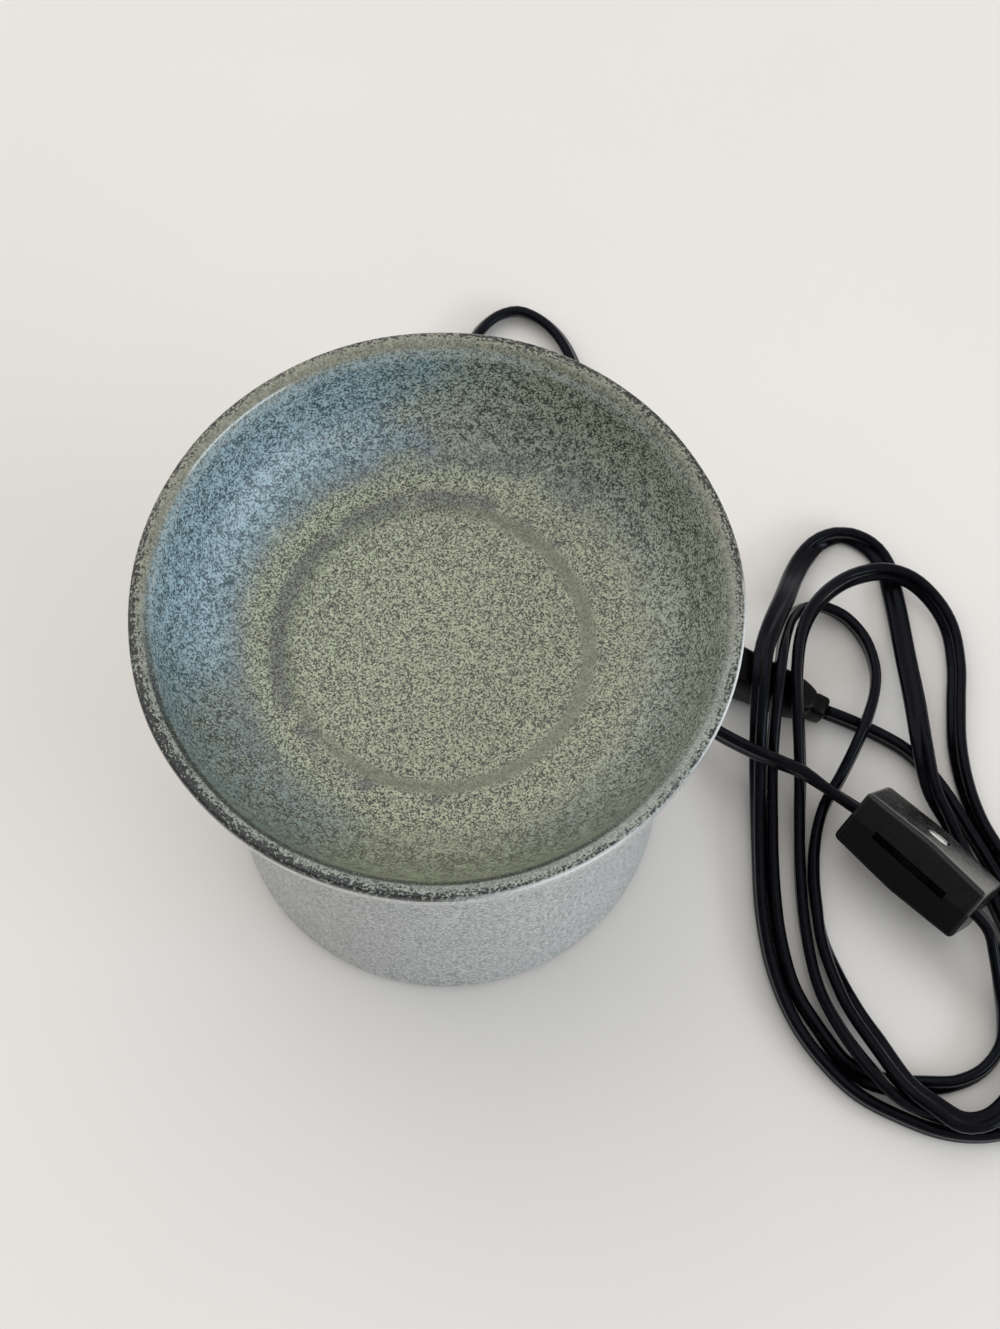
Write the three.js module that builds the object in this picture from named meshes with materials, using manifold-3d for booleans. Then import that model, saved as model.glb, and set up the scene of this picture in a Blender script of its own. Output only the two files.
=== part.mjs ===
// Electric wax warmer: a glazed dish that lifts off a ceramic base with a hot plate in its top,
// on a flat two-core lead with an inline thumbwheel switch and a two-blade plug.
// Millimetres and degrees, +Z up. The origin is on the table, under the middle of the base.

import * as THREE from 'three';
import { mergeVertices } from 'three/addons/utils/BufferGeometryUtils.js';
import Module from 'manifold-3d';

const wasm = await Module();
wasm.setup();

// Fits
const seatGap = 0.3; // between pieces that rest on each other
const slipGap = 0.4; // around a pin or neck in its hole

// Dish
const rimRadius = 68;
const lipWidth = 4.6;
const lipRound = 2;
const dishDepth = 26.5;
const dishFloorThickness = 5;
const footRingWidth = 5;
const footRingRoom = 3; // from the hot plate's edge to the foot ring
const ringRadius = 34.6; // step in the floor around the middle disc
const ringWidth = 4.6;
const ringStep = 1.2;

// Base shell
const shellRadius = 56;
const shellWall = 4.5;
const shellHeight = 91.4;
const shellBottomRound = 3;
const shellTopRound = 4;
const deckThickness = 5;
const rebateDepth = 1.7;

// Bottom plate and feet
const footCount = 4;
const footRadius = 6;
const footHeight = 2;
const footProud = 1.2; // feet below the shell's lower edge
const footInset = 5;
const bottomPlateThickness = 2;
const dimpleRadius = 9;

// Hot plate stack, from the top down
const hotPlateRadius = 34;
const hotPlateDepth = 4.6;
const flangeRadius = 39.5;
const flangeThickness = 2;
const gasketThickness = 1;
const gasketInset = 0.6;
const heaterRadius = 24;
const heaterThickness = 3;
const micaRadius = 25;
const micaThickness = 0.8;
const pressurePlateRadius = 23;
const pressurePlateThickness = 1.5;
const bracketWidth = 14;
const bracketThickness = 2;
const bracketToe = 5;
const bracketReach = 2; // from the deck's opening to the bracket's leg
const rodRadius = 2;
const rodSeatDepth = 3; // blind hole in the hot plate
const rodTail = 0.5; // rod below the lower nut
const washerRadius = 4.5;
const washerThickness = 1;
const nutAcross = 7;
const nutHeight = 3;

// Thermal fuse and wiring
const fuseRadius = 2;
const fuseLength = 12;
const fuseOffset = 14;
const clipWidth = 5;
const clipThickness = 1;
const wireRadius = 0.9;
const spliceRadius = 2.4;
const spliceLength = 14;
const spliceX = 14;
const spliceY = 22;
const spliceDrop = 22; // from the fuse to the top of the splices
const terminalHeading = 120; // where the neutral wire leaves the heater
const fuseTerminalHeading = 166; // where the fuse's wire leaves the heater

// Lead
const cordWidth = 6;
const cordThickness = 3;
const cordGroove = 0.45; // depth of the groove on each side
const cordStep = 9; // length of one step of the solid
const tailRise = 26; // height of the lead's tail inside the base

// Strain relief
const reliefRoom = 0.8; // from the bottom plate to the lock ring
const neckRadius = 5;
const neckInside = 5; // neck beyond the shell's inner face
const collarRadius = 8;
const collarThickness = 2.6;
const reliefTailLength = 24;
const reliefTailRadius = 5.6;
const reliefTipRadius = 4.2;
const lockRingRadius = 8.5;
const lockRingThickness = 2;

// Inline switch
const switchCentre = new THREE.Vector3(123.5, -25, 13.8);
const switchHeading = -45;
const switchPitch = 2;
const switchRoll = -56;
const switchLength = 40;
const switchWidth = 20;
const switchThickness = 17.5; // at the middle
const switchEndThickness = 15.5;
const switchWall = 1.8;
const seamGap = 0.3;
const wheelRadius = 10.8;
const wheelThickness = 2;
const wheelTeeth = 30;
const toothDepth = 0.6;
const slotLength = 23;
const spindleRadius = 2.4;
const hubRadius = 3.6;
const screwRadius = 1.4;
const screwHeadRadius = 2.9;
const screwHeadHeight = 1.8;
const switchNutAcross = 5.5;
const switchNutHeight = 2.4;
const rotorRoom = 0.8; // from the rotor contact to the case
const rotorThickness = 0.6;
const contactWidth = 5;
const contactThickness = 0.6;
const contactReach = 5.2; // from the screw to the contact's near end
const mouthDepth = 2; // lead inside the switch's mouth
const mouthRoom = 0.8; // around the lead in the mouth

// Plug
const plugTail = new THREE.Vector3(102.5, 20.2, 4.15);
const plugHeading = 158;
const plugLength = 30;
const plugTailHalfHeight = 4;
const plugFrontHalfHeight = 9.4;
const plugHalfWidth = 5.5;
const plugTailHalfWidth = 3.2;
const bladePitch = 12.7;
const bladeThickness = 1.5;
const lineBladeWidth = 6.35;
const neutralBladeWidth = 7.9;
const bladeLength = 17;
const bladeSeat = 5;
const bladeHoleRadius = 1.5;
const bladeHoleFromTip = 4;
const bladeGap = 0.3;

// Lead from the base to the switch: x, y, z and the tilt of its wide side from flat
const switchLeadPoints = [
  [0, 88, 12.8, 0], [0.1, 96, 11.2, 8], [0.4, 105, 8.6, 26], [1.2, 115, 5.8, 52], [2.6, 125, 3.9, 84],
  [4.8, 133, 3.2, 108], [8.2, 139.6, 3.1, 115], [13, 144.2, 3.1, 115], [19.2, 146, 3.1, 115],
  [25.6, 143.2, 3.1, 115], [31, 137.6, 3.1, 115], [35, 129.5, 3.1, 115], [38.6, 115, 3.1, 108],
  [41.8, 98, 3.1, 100], [44.5, 80, 3.1, 90], [47, 62, 3.1, 90], [50.2, 45, 3.5, 90], [55, 32, 5, 90],
  [62, 21, 8.4, 90], [71, 11.6, 13.4, 90], [80, 4.6, 17.6, 90], [87, 1, 18.4, 90], [94, -1.6, 16.8, 95],
  [100, -5.2, 14.8, 108],
];

// Loops of lead from the switch to the plug: x, y, z and tilt, turn by turn
const loopPoints = [
  [140.9, -44, 13.4, -60], [142.2, -49.5, 10.8, -68], [143.4, -56.5, 7, -78],
  [144.4, -64, 4.3, -85], [143.2, -72, 3.3, -80], [138, -78.3, 3.1, -80], [130.9, -81.4, 3, -75],
  [123.1, -82, 2.8, -50], [115.3, -81.7, 2.3, -26], [108.5, -79.9, 2.6, -42],
  [102.5, -75.6, 3, -74],
  // up the left side and over the plug
  [96.8, -67.5, 3.1, -86], [90.9, -57, 3.1, -86], [87.7, -43.6, 3.1, -84], [86.5, -27.6, 3.5, -82],
  [86.5, -11.1, 5.4, -82], [86.8, 3.9, 9.8, -84], [87.5, 14.1, 15.2, -86], [88.5, 22.9, 18.2, -86],
  [89.8, 31.1, 18, -85], [91.4, 38.5, 14.2, -75],
  // the smallest turn, at the back
  [93.6, 45, 10, -65], [97, 49.3, 6.8, -65], [102.5, 51.4, 4.4, -70], [109.3, 48.9, 3.2, -80],
  [114.5, 42.4, 3.3, -85], [116.7, 33.5, 5.2, -85], [116, 25, 7.9, -85], [113.2, 16.2, 9.8, -85],
  [109.3, 7.6, 8.8, -85], [105.2, 0, 6.5, -85], [100.9, -7.2, 4.7, -86], [98.5, -15.1, 3.5, -88],
  [97.4, -25.1, 3.1, -90], [97.8, -35.4, 3.2, -86], [99, -44.6, 3.4, -70],
  [104.8, -60.4, 4.2, -34], [110.9, -71.5, 6.5, -28], [118.3, -83.4, 9.2, -40],
  [124.3, -88.2, 9.3, -34], [131.1, -92.4, 8.8, -18], [137.3, -91.9, 8.7, -18],
  // up the right side to the largest turn
  [142.8, -87.8, 8.2, -26], [147.2, -80.5, 6, -52], [150.3, -68, 3.6, -80], [150.3, -55, 3.1, -90],
  [147.9, -43, 3.1, -90], [143.6, -31, 3.1, -90], [138.1, -21, 3.6, -88], [133.8, -12, 5.8, -75],
  [129.5, -3.4, 8.2, -50], [127.5, 8.8, 9.4, -28], [126.7, 22.5, 7.2, -10], [125.6, 36.5, 4.4, 0],
  [124, 54.3, 2.1, 0], [122, 64.8, 1.9, -10], [117.8, 70.6, 2.6, -45], [110.5, 73.7, 3.1, -80],
  [104, 71.6, 3.3, -55], [99.1, 66.1, 4.4, -20], [95.5, 59.2, 7.4, -5], [92, 50.2, 13, 0],
  [87.7, 40.1, 17.8, 18], [84.9, 31.9, 19.6, 38], [83.6, 21.9, 19.2, 50], [83, 14, 16.8, 58],
  [82.8, 4.1, 11.4, 66], [82.8, -6.2, 7.2, 74], [82.8, -17.5, 4.4, 80], [83.2, -37.1, 3.1, 84],
  [85.7, -52.7, 3.1, 87], [90.7, -65.9, 3.1, 90], [97.9, -76.5, 3.1, 90], [106.2, -84.6, 3.1, 90],
  [116.5, -90.2, 3.1, 90], [126.5, -94, 3.1, 90], [135.3, -95.1, 3.1, 90], [143.6, -94, 3.1, 90],
  [150.4, -90.4, 3.1, 90], [155.4, -83.8, 3.1, 90], [158.2, -75, 3.1, 90], [158.6, -60, 3.1, 90],
  [156.6, -45, 3.1, 90], [152.6, -31.5, 3.1, 92], [147.7, -20.5, 3.1, 95],
  // the middle turn, over the other two at the back
  [143, -11.5, 3.1, 105], [139.8, -1.5, 3.1, 120], [138.3, 10.6, 3, 132], [138.9, 23.7, 3, 135],
  [139.7, 33.7, 3.1, 132], [138.5, 44.8, 3.9, 125], [134.7, 52.2, 5.2, 120],
  [128.2, 58.3, 6.7, 115], [120.6, 60.5, 7.5, 112], [113, 58.8, 8.4, 110],
  [106.8, 54.9, 10.4, 108], [100, 47.4, 13.6, 105], [95.9, 38.7, 15.2, 105], [94, 27, 15.6, 105],
  [93.9, 17.4, 14.4, 105], [94.3, 8.2, 11, 105], [94.5, 0.6, 7.9, 105], [94.2, -9.7, 5, 100],
  [93.8, -24.8, 3.2, 92], [94.5, -41.1, 3.2, 96], [97, -56.3, 4.4, 104], [101.4, -67.4, 6.8, 108],
  [108.1, -78.1, 8.5, 114], [116.7, -86.6, 6.6, 110], [128.1, -90.5, 3.3, 95],
  [137.9, -91.4, 3.1, 90], [146.2, -88.2, 3.1, 90], [151.4, -81.4, 3.1, 90], [154.2, -71, 3.1, 90],
  [154.6, -58, 3.1, 90], [152.2, -44, 3.1, 90], [148, -31, 3.1, 90], [143.2, -20.5, 3.1, 90],
  // across to the plug, under the turns
  [138.8, -12, 3.1, 90], [134.6, -4, 3.1, 90], [129.8, 3.3, 3.1, 90], [124.2, 9.3, 3.1, 90],
  [118.8, 12.9, 3.1, 90], [113.8, 15.6, 3.1, 90], [108.5, 17.9, 3.6, 90],
];

// Heights worked out from the table up
const bottomPlateUnder = footHeight + seatGap;
const bottomPlateTop = bottomPlateUnder + bottomPlateThickness;
const rebateTop = bottomPlateTop + seatGap;
const reliefHeight = bottomPlateTop + reliefRoom + lockRingRadius;
const lowerNutBottom = bottomPlateUnder;
const dimpleUnder = lowerNutBottom + nutHeight + seatGap;
const deckTop = footProud + shellHeight;
const deckUnder = deckTop - deckThickness;
const gasketBottom = deckTop + seatGap;
const flangeUnder = gasketBottom + gasketThickness + seatGap;
const plateTop = flangeUnder + flangeThickness;
const plateUnder = flangeUnder - hotPlateDepth;
const heaterTop = plateUnder - seatGap;
const heaterBottom = heaterTop - heaterThickness;
const micaTop = heaterBottom - seatGap;
const micaBottom = micaTop - micaThickness;
const pressureTop = micaBottom - seatGap;
const pressureBottom = pressureTop - pressurePlateThickness;
const bracketTop = pressureBottom - seatGap;
const bracketBottom = bracketTop - bracketThickness;
const washerTop = bracketBottom - seatGap;
const upperNutTop = washerTop - washerThickness - seatGap;
const upperNutBottom = upperNutTop - nutHeight;
const dishUnder = plateTop + seatGap;
const dishFloor = dishUnder + dishFloorThickness;
const rimTop = dishFloor + dishDepth;

// Radii worked out from the fits
const boreRadius = shellRadius - shellWall;
const rebateRadius = boreRadius + rebateDepth;
const bottomPlateRadius = rebateRadius - slipGap;
const deckOpening = hotPlateRadius + slipGap;
const rodHole = rodRadius + slipGap;
const footRingInner = flangeRadius + footRingRoom;
const footRingOuter = footRingInner + footRingWidth;
const fuseHeight = pressureBottom - seatGap - fuseRadius;
const spliceTop = fuseHeight - spliceDrop;
const spliceBottom = spliceTop - spliceLength;

const radians = THREE.MathUtils.degToRad;
const warmer = new THREE.Group();

// Geometry with shared corners, only positions, and no triangles without area
function closed(geometry) {
  geometry.deleteAttribute('normal');
  geometry.deleteAttribute('uv');
  const merged = mergeVertices(geometry, 1e-4);
  const index = merged.getIndex().array;
  const kept = [];
  for (let i = 0; i < index.length; i += 3) {
    const [a, b, c] = [index[i], index[i + 1], index[i + 2]];
    if (a !== b && b !== c && c !== a) kept.push(a, b, c);
  }
  merged.setIndex(kept);
  return merged;
}

// A solid that can be cut and joined
function solid(geometry) {
  const shape = closed(geometry);
  const vertProperties = new Float32Array(shape.getAttribute('position').array);
  const triVerts = new Uint32Array(shape.getIndex().array);
  return new wasm.Manifold(new wasm.Mesh({ numProp: 3, vertProperties, triVerts }));
}

function geometryOf(body) {
  const mesh = body.getMesh();
  const geometry = new THREE.BufferGeometry();
  geometry.setAttribute('position', new THREE.Float32BufferAttribute(mesh.vertProperties, 3));
  geometry.setIndex(Array.from(mesh.triVerts));
  return geometry;
}

function carve(geometry, cutters) {
  let body = solid(geometry);
  for (const cutter of cutters) body = body.subtract(solid(cutter));
  return geometryOf(body);
}

function fuse(geometry, others) {
  let body = solid(geometry);
  for (const other of others) body = body.add(solid(other));
  return geometryOf(body);
}

// A solid turned about Z from an outline of radius and height, walked up the outside
function turned(points, segments) {
  const geometry = new THREE.LatheGeometry(points, segments);
  geometry.rotateX(Math.PI / 2);
  return closed(geometry);
}

function outline(path, curveSteps, ring) {
  const points = path.getPoints(curveSteps);
  if (ring) points.push(points[0].clone());
  return points;
}

// A round plate between two heights, with or without a bore
function disc(radius, bottom, top, bore, segments) {
  const corners = [[bore, bottom], [radius, bottom], [radius, top], [bore, top]];
  const points = corners.map(([r, z]) => new THREE.Vector2(r, z));
  if (bore > 0) points.push(points[0].clone());
  return turned(points, segments);
}

function block(x0, x1, y0, y1, z0, z1) {
  const geometry = new THREE.BoxGeometry(x1 - x0, y1 - y0, z1 - z0);
  return geometry.translate((x0 + x1) / 2, (y0 + y1) / 2, (z0 + z1) / 2);
}

function polygon(radius, count, turn) {
  const points = [];
  for (let i = 0; i < count; i += 1) {
    const angle = turn + (2 * Math.PI * i) / count;
    points.push(new THREE.Vector2(radius * Math.cos(angle), radius * Math.sin(angle)));
  }
  return points;
}

// A flat outline raised from one height to another
function prism(points, holes, bottom, top) {
  const shape = new THREE.Shape(points);
  for (const hole of holes) shape.holes.push(new THREE.Path(hole));
  const geometry = new THREE.ExtrudeGeometry(shape, { depth: top - bottom, bevelEnabled: false });
  return geometry.translate(0, 0, bottom);
}

function hexNut(across, bore, bottom, top) {
  const corner = across / Math.sqrt(3);
  return prism(polygon(corner, 6, 0), [polygon(bore, 16, 0)], bottom, top);
}

// A round wire along points
function wire(points, radius, steps) {
  const curve = new THREE.CatmullRomCurve3(points.map((p) => new THREE.Vector3(...p)), false, 'centripetal');
  const shape = new THREE.Shape(polygon(radius, 8, 0));
  return new THREE.ExtrudeGeometry(shape, { steps, extrudePath: curve, bevelEnabled: false });
}

function finish(color, roughness, metalness) {
  return new THREE.MeshStandardMaterial({ color, roughness, metalness });
}

function add(group, name, geometry, material) {
  const mesh = new THREE.Mesh(closed(geometry), material);
  mesh.name = name;
  group.add(mesh);
}

// Dish: bowl with a rounded lip, a stepped floor and a foot ring
function waxDish() {
  const wallTop = rimTop - lipRound;
  const lipInner = rimRadius - lipWidth;
  const path = new THREE.Path();
  path.moveTo(0, dishUnder);
  path.lineTo(footRingInner, dishUnder);
  path.lineTo(footRingInner, gasketBottom);
  path.lineTo(footRingOuter, gasketBottom);
  path.lineTo(footRingOuter, dishUnder);
  path.bezierCurveTo(
    footRingOuter + 0.5 * (rimRadius - footRingOuter), dishUnder + 1.5,
    rimRadius - 1.5, dishUnder + 0.5 * (wallTop - dishUnder),
    rimRadius, wallTop,
  );
  path.quadraticCurveTo(rimRadius, rimTop, rimRadius - lipWidth / 2, rimTop);
  path.quadraticCurveTo(lipInner, rimTop, lipInner, wallTop);
  path.bezierCurveTo(
    lipInner - 3.5, wallTop - 0.5 * dishDepth,
    lipInner - 10, dishFloor + ringStep + 0.6,
    ringRadius + ringWidth / 2, dishFloor + ringStep,
  );
  path.bezierCurveTo(
    ringRadius, dishFloor + ringStep, ringRadius, dishFloor,
    ringRadius - ringWidth / 2, dishFloor,
  );
  path.lineTo(0, dishFloor);
  return turned(outline(path, 5, false), 48);
}

// Base shell: open below, with a deck that the hot plate drops into and a hole for the lead
function baseShell() {
  const path = new THREE.Path();
  path.moveTo(rebateRadius, footProud);
  path.lineTo(shellRadius - shellBottomRound / 2, footProud);
  path.quadraticCurveTo(shellRadius, footProud, shellRadius, footProud + shellBottomRound);
  path.lineTo(shellRadius, deckTop - shellTopRound);
  path.quadraticCurveTo(shellRadius, deckTop, shellRadius - shellTopRound, deckTop);
  path.lineTo(deckOpening, deckTop);
  path.lineTo(deckOpening, deckUnder);
  path.lineTo(boreRadius, deckUnder);
  path.lineTo(boreRadius, rebateTop);
  path.lineTo(rebateRadius, rebateTop);
  const shell = turned(outline(path, 4, true), 48);
  const hole = disc(neckRadius + slipGap, boreRadius - shellWall, shellRadius + shellWall, 0, 24);
  hole.rotateX(-Math.PI / 2).translate(0, 0, reliefHeight);
  return carve(shell, [hole]);
}

function bottomPlate() {
  const dimpleTop = dimpleUnder + bottomPlateThickness;
  const corners = [
    [rodHole, dimpleUnder], [dimpleRadius, dimpleUnder], [dimpleRadius, bottomPlateUnder],
    [bottomPlateRadius, bottomPlateUnder], [bottomPlateRadius, bottomPlateTop],
    [dimpleRadius + bottomPlateThickness, bottomPlateTop],
    [dimpleRadius + bottomPlateThickness, dimpleTop], [rodHole, dimpleTop], [rodHole, dimpleUnder],
  ];
  return turned(corners.map(([r, z]) => new THREE.Vector2(r, z)), 48);
}

function hotPlate() {
  const corners = [
    [0, plateUnder + rodSeatDepth], [rodHole, plateUnder + rodSeatDepth], [rodHole, plateUnder],
    [hotPlateRadius, plateUnder], [hotPlateRadius, flangeUnder], [flangeRadius, flangeUnder],
    [flangeRadius, plateTop], [0, plateTop],
  ];
  return turned(corners.map(([r, z]) => new THREE.Vector2(r, z)), 48);
}

// Bridge bracket: a strap under the pressure plate whose legs press up on the deck
function bridgeBracket() {
  const legIn = deckOpening + bracketReach;
  const legOut = legIn + bracketThickness;
  const toeEnd = legOut + bracketToe;
  const toeTop = deckUnder - seatGap;
  const toeUnder = toeTop - bracketThickness;
  const half = [
    [legOut, bracketBottom], [legOut, toeUnder], [toeEnd, toeUnder], [toeEnd, toeTop], [legIn, toeTop],
    [legIn, bracketTop],
  ];
  const mirrored = half.map(([x, z]) => [-x, z]).reverse();
  const points = half.concat(mirrored).map(([x, z]) => new THREE.Vector2(x, z));
  const strap = prism(points, [], -bracketWidth / 2, bracketWidth / 2);
  strap.rotateX(Math.PI / 2);
  const hole = disc(rodHole, bracketBottom - bracketThickness, bracketTop + bracketThickness, 0, 16);
  return carve(strap, [hole]);
}

function tieRod() {
  return disc(rodRadius, lowerNutBottom - rodTail, plateUnder + rodSeatDepth - seatGap, 0, 16);
}

function thermalFuse() {
  const body = disc(fuseRadius, -fuseLength / 2, fuseLength / 2, 0, 16);
  return body.rotateY(Math.PI / 2).translate(0, fuseOffset, fuseHeight);
}

// Clip: a saddle that holds the fuse up against the pressure plate
function fuseClip() {
  const inner = fuseRadius + slipGap;
  const outer = inner + clipThickness;
  const top = pressureBottom - seatGap - fuseHeight;
  const corners = [
    [-outer, top], [-outer, -outer], [outer, -outer], [outer, top], [inner, top], [inner, -inner],
    [-inner, -inner], [-inner, top],
  ];
  const saddle = prism(corners.map(([y, z]) => new THREE.Vector2(y, z)), [], -clipWidth / 2, clipWidth / 2);
  saddle.rotateX(Math.PI / 2).rotateZ(Math.PI / 2);
  return saddle.translate(0, fuseOffset, fuseHeight);
}

function heaterTerminal(heading, out) {
  const r = heaterRadius + out;
  return [r * Math.cos(radians(heading)), r * Math.sin(radians(heading)), (heaterTop + heaterBottom) / 2];
}

// Wires: heater to fuse, fuse to live splice, heater to neutral splice
function fuseWire() {
  const start = heaterTerminal(fuseTerminalHeading, seatGap);
  const bend = heaterTerminal(fuseTerminalHeading, 6);
  const end = [-fuseLength / 2 - seatGap, fuseOffset, fuseHeight];
  const low = [bend[0], fuseOffset, fuseHeight];
  return wire([start, bend, low, [end[0] - 8, end[1], end[2]], end], wireRadius, 18);
}

function liveWire() {
  const start = [fuseLength / 2 + seatGap, fuseOffset, fuseHeight];
  const end = [spliceX, spliceY, spliceTop + seatGap];
  const out = [start[0] + 8, start[1] + 1, start[2]];
  const down = [spliceX + 2, spliceY - 2, fuseHeight - spliceDrop / 2];
  return wire([start, out, down, [end[0], end[1], end[2] + 4], end], wireRadius, 16);
}

function neutralWire() {
  const start = heaterTerminal(terminalHeading, seatGap);
  const bend = heaterTerminal(terminalHeading, 5);
  const end = [-spliceX, spliceY, spliceTop + seatGap];
  const down = [bend[0] - 1, bend[1], fuseHeight - spliceDrop / 3];
  return wire([start, bend, down, [end[0], end[1], end[2] + 4], end], wireRadius, 16);
}

function splice(side) {
  return disc(spliceRadius, spliceBottom, spliceTop, 0, 16).translate(side * spliceX, spliceY, 0);
}

const tailTopY = spliceY + 6;

function cordCore(side) {
  const start = [(side * cordWidth) / 4, tailTopY, reliefHeight + tailRise + seatGap];
  const end = [side * spliceX, spliceY, spliceBottom - seatGap];
  const middle = [(start[0] + end[0]) / 2, (start[1] + end[1]) / 2, (start[2] + end[2]) / 2];
  return wire([start, [start[0], start[1], start[2] + 3], middle, [end[0], end[1], end[2] - 3], end], wireRadius, 14);
}

// Strain relief: a collar and a tapered tail moulded round the lead, turned about +Y
function strainRelief() {
  const face = shellRadius + seatGap;
  const collarEnd = face + collarThickness;
  const inside = boreRadius - neckInside;
  const corners = [
    [0, inside], [neckRadius, inside], [neckRadius, face], [collarRadius, face], [collarRadius, collarEnd],
    [reliefTailRadius, collarEnd], [reliefTipRadius, face + reliefTailLength], [0, face + reliefTailLength],
  ];
  const body = turned(corners.map(([r, y]) => new THREE.Vector2(r, y)), 24);
  return body.rotateX(-Math.PI / 2).translate(0, 0, reliefHeight);
}

// Lock ring: slides on the neck inside the shell
function lockRing() {
  const back = Math.sqrt(boreRadius ** 2 - lockRingRadius ** 2) - seatGap;
  const ring = disc(lockRingRadius, back - lockRingThickness, back, neckRadius + seatGap, 24);
  return ring.rotateX(-Math.PI / 2).translate(0, 0, reliefHeight);
}

// Section of the flat lead: two round cores side by side, with a groove between them on each side
function cordSection() {
  const core = cordThickness / 2;
  const offset = cordWidth / 2 - core;
  const points = [];
  for (const side of [1, -1]) {
    for (const angle of [-100, -34, 34, 100]) {
      const turn = radians(side > 0 ? angle : angle + 180);
      points.push([side * offset + core * Math.cos(turn), core * Math.sin(turn)]);
    }
    points.push([0, side * (core - cordGroove)]);
  }
  return points;
}

// Places along a route of points and tilts: position, direction, and the way the wide side points
function cordPlaces(route, count) {
  const curve = new THREE.CatmullRomCurve3(route.map(([x, y, z]) => new THREE.Vector3(x, y, z)), false, 'centripetal');
  const spans = route.length - 1;
  const places = [];
  for (let i = 0; i <= count; i += 1) {
    const t = curve.getUtoTmapping(i / count);
    const span = Math.min(Math.floor(t * spans), spans - 1);
    const tilt = radians(THREE.MathUtils.lerp(route[span][3], route[span + 1][3], t * spans - span));
    const along = curve.getTangent(t);
    const left = new THREE.Vector3(-along.y, along.x, 0).normalize();
    const up = along.clone().cross(left);
    const wide = left.multiplyScalar(Math.cos(tilt)).addScaledVector(up, Math.sin(tilt));
    places.push({ at: curve.getPoint(t), along, wide });
  }
  return { places, length: curve.getLength() };
}

// One unbroken lead along a route, closed by a flat face at each end
function flatCord(route) {
  const rough = cordPlaces(route, 1);
  const count = Math.round(rough.length / cordStep);
  const { places } = cordPlaces(route, count);
  const section = cordSection();
  const position = [];
  const index = [];
  for (const { at, along, wide } of places) {
    const thin = along.clone().cross(wide);
    for (const [w, t] of section) {
      const p = at.clone().addScaledVector(wide, w).addScaledVector(thin, t);
      position.push(p.x, p.y, p.z);
    }
  }
  const sides = section.length;
  for (let ring = 0; ring < count; ring += 1) {
    for (let side = 0; side < sides; side += 1) {
      const a = ring * sides + side;
      const b = ring * sides + ((side + 1) % sides);
      index.push(a, b, a + sides, b, b + sides, a + sides);
    }
  }
  for (const [ring, flip] of [[0, true], [count, false]]) {
    const { at } = places[ring];
    const middle = position.length / 3;
    position.push(at.x, at.y, at.z);
    for (let side = 0; side < sides; side += 1) {
      const a = ring * sides + side;
      const b = ring * sides + ((side + 1) % sides);
      if (flip) index.push(middle, b, a);
      else index.push(middle, a, b);
    }
  }
  const geometry = new THREE.BufferGeometry();
  geometry.setAttribute('position', new THREE.Float32BufferAttribute(position, 3));
  geometry.setIndex(index);
  return geometry;
}

// Least gap of the loops to themselves, measured between points on the two cores
function leastGap(route, stepLength) {
  const { length } = cordPlaces(route, 1);
  const count = Math.round(length / stepLength);
  const { places } = cordPlaces(route, count);
  const offset = (cordWidth - cordThickness) / 2;
  const cores = places.map(({ at, wide }) => [
    at.clone().addScaledVector(wide, offset),
    at.clone().addScaledVector(wide, -offset),
  ]);
  const apart = Math.ceil((3 * cordWidth) / stepLength);
  let least = Infinity;
  for (let i = 0; i < cores.length; i += 1) {
    for (let j = i + apart; j < cores.length; j += 1) {
      for (const a of cores[i]) {
        for (const b of cores[j]) least = Math.min(least, a.distanceTo(b) - cordThickness);
      }
    }
  }
  return { least, length };
}

// Inline switch, built lying flat: X along the lead, Z through the front shell
const seam = seamGap / 2;
const rotorRadius = switchWidth / 2 - switchWall - rotorRoom;
const cavityHalf = switchEndThickness / 2 - switchWall;
const wheelRoom = wheelThickness / 2 + slipGap;
const mouthHalfWidth = cordWidth / 2 + mouthRoom;
const mouthHalfHeight = cordThickness / 2 + mouthRoom;

// Half of the case: a bar thickest at its middle, hollow, notched for the wheel and for the lead
function switchHalf() {
  const end = switchLength / 2;
  const corners = [
    [-end, seam], [end, seam], [end, switchEndThickness / 2], [0, switchThickness / 2],
    [-end, switchEndThickness / 2],
  ];
  const points = corners.map(([x, z]) => new THREE.Vector2(x, z));
  const bar = prism(points, [], -switchWidth / 2, switchWidth / 2).rotateX(Math.PI / 2);
  const hollow = block(
    -end + switchWall, end - switchWall, -switchWidth / 2 + switchWall, switchWidth / 2 - switchWall,
    -switchWall, cavityHalf,
  );
  const slot = block(-slotLength / 2, slotLength / 2, -switchWidth, switchWidth, -wheelRoom, wheelRoom);
  const mouth = block(-switchLength, switchLength, -mouthHalfWidth, mouthHalfWidth, -mouthHalfHeight, mouthHalfHeight);
  return carve(bar, [hollow, slot, mouth]);
}

const screwHole = () => disc(screwRadius + slipGap, -switchThickness, switchThickness, 0, 16);

function switchFront() {
  const boss = disc(hubRadius, wheelRoom, cavityHalf + switchWall / 2, 0, 20);
  const seat = switchThickness / 2 - screwHeadHeight - seatGap;
  const headHole = disc(screwHeadRadius + slipGap, seat, switchThickness, 0, 24);
  return carve(fuse(switchHalf(), [boss]), [screwHole(), headHole]);
}

const contactTop = -wheelThickness / 2 - 2 * seatGap - rotorThickness;
const contactBottom = contactTop - contactThickness;

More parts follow.
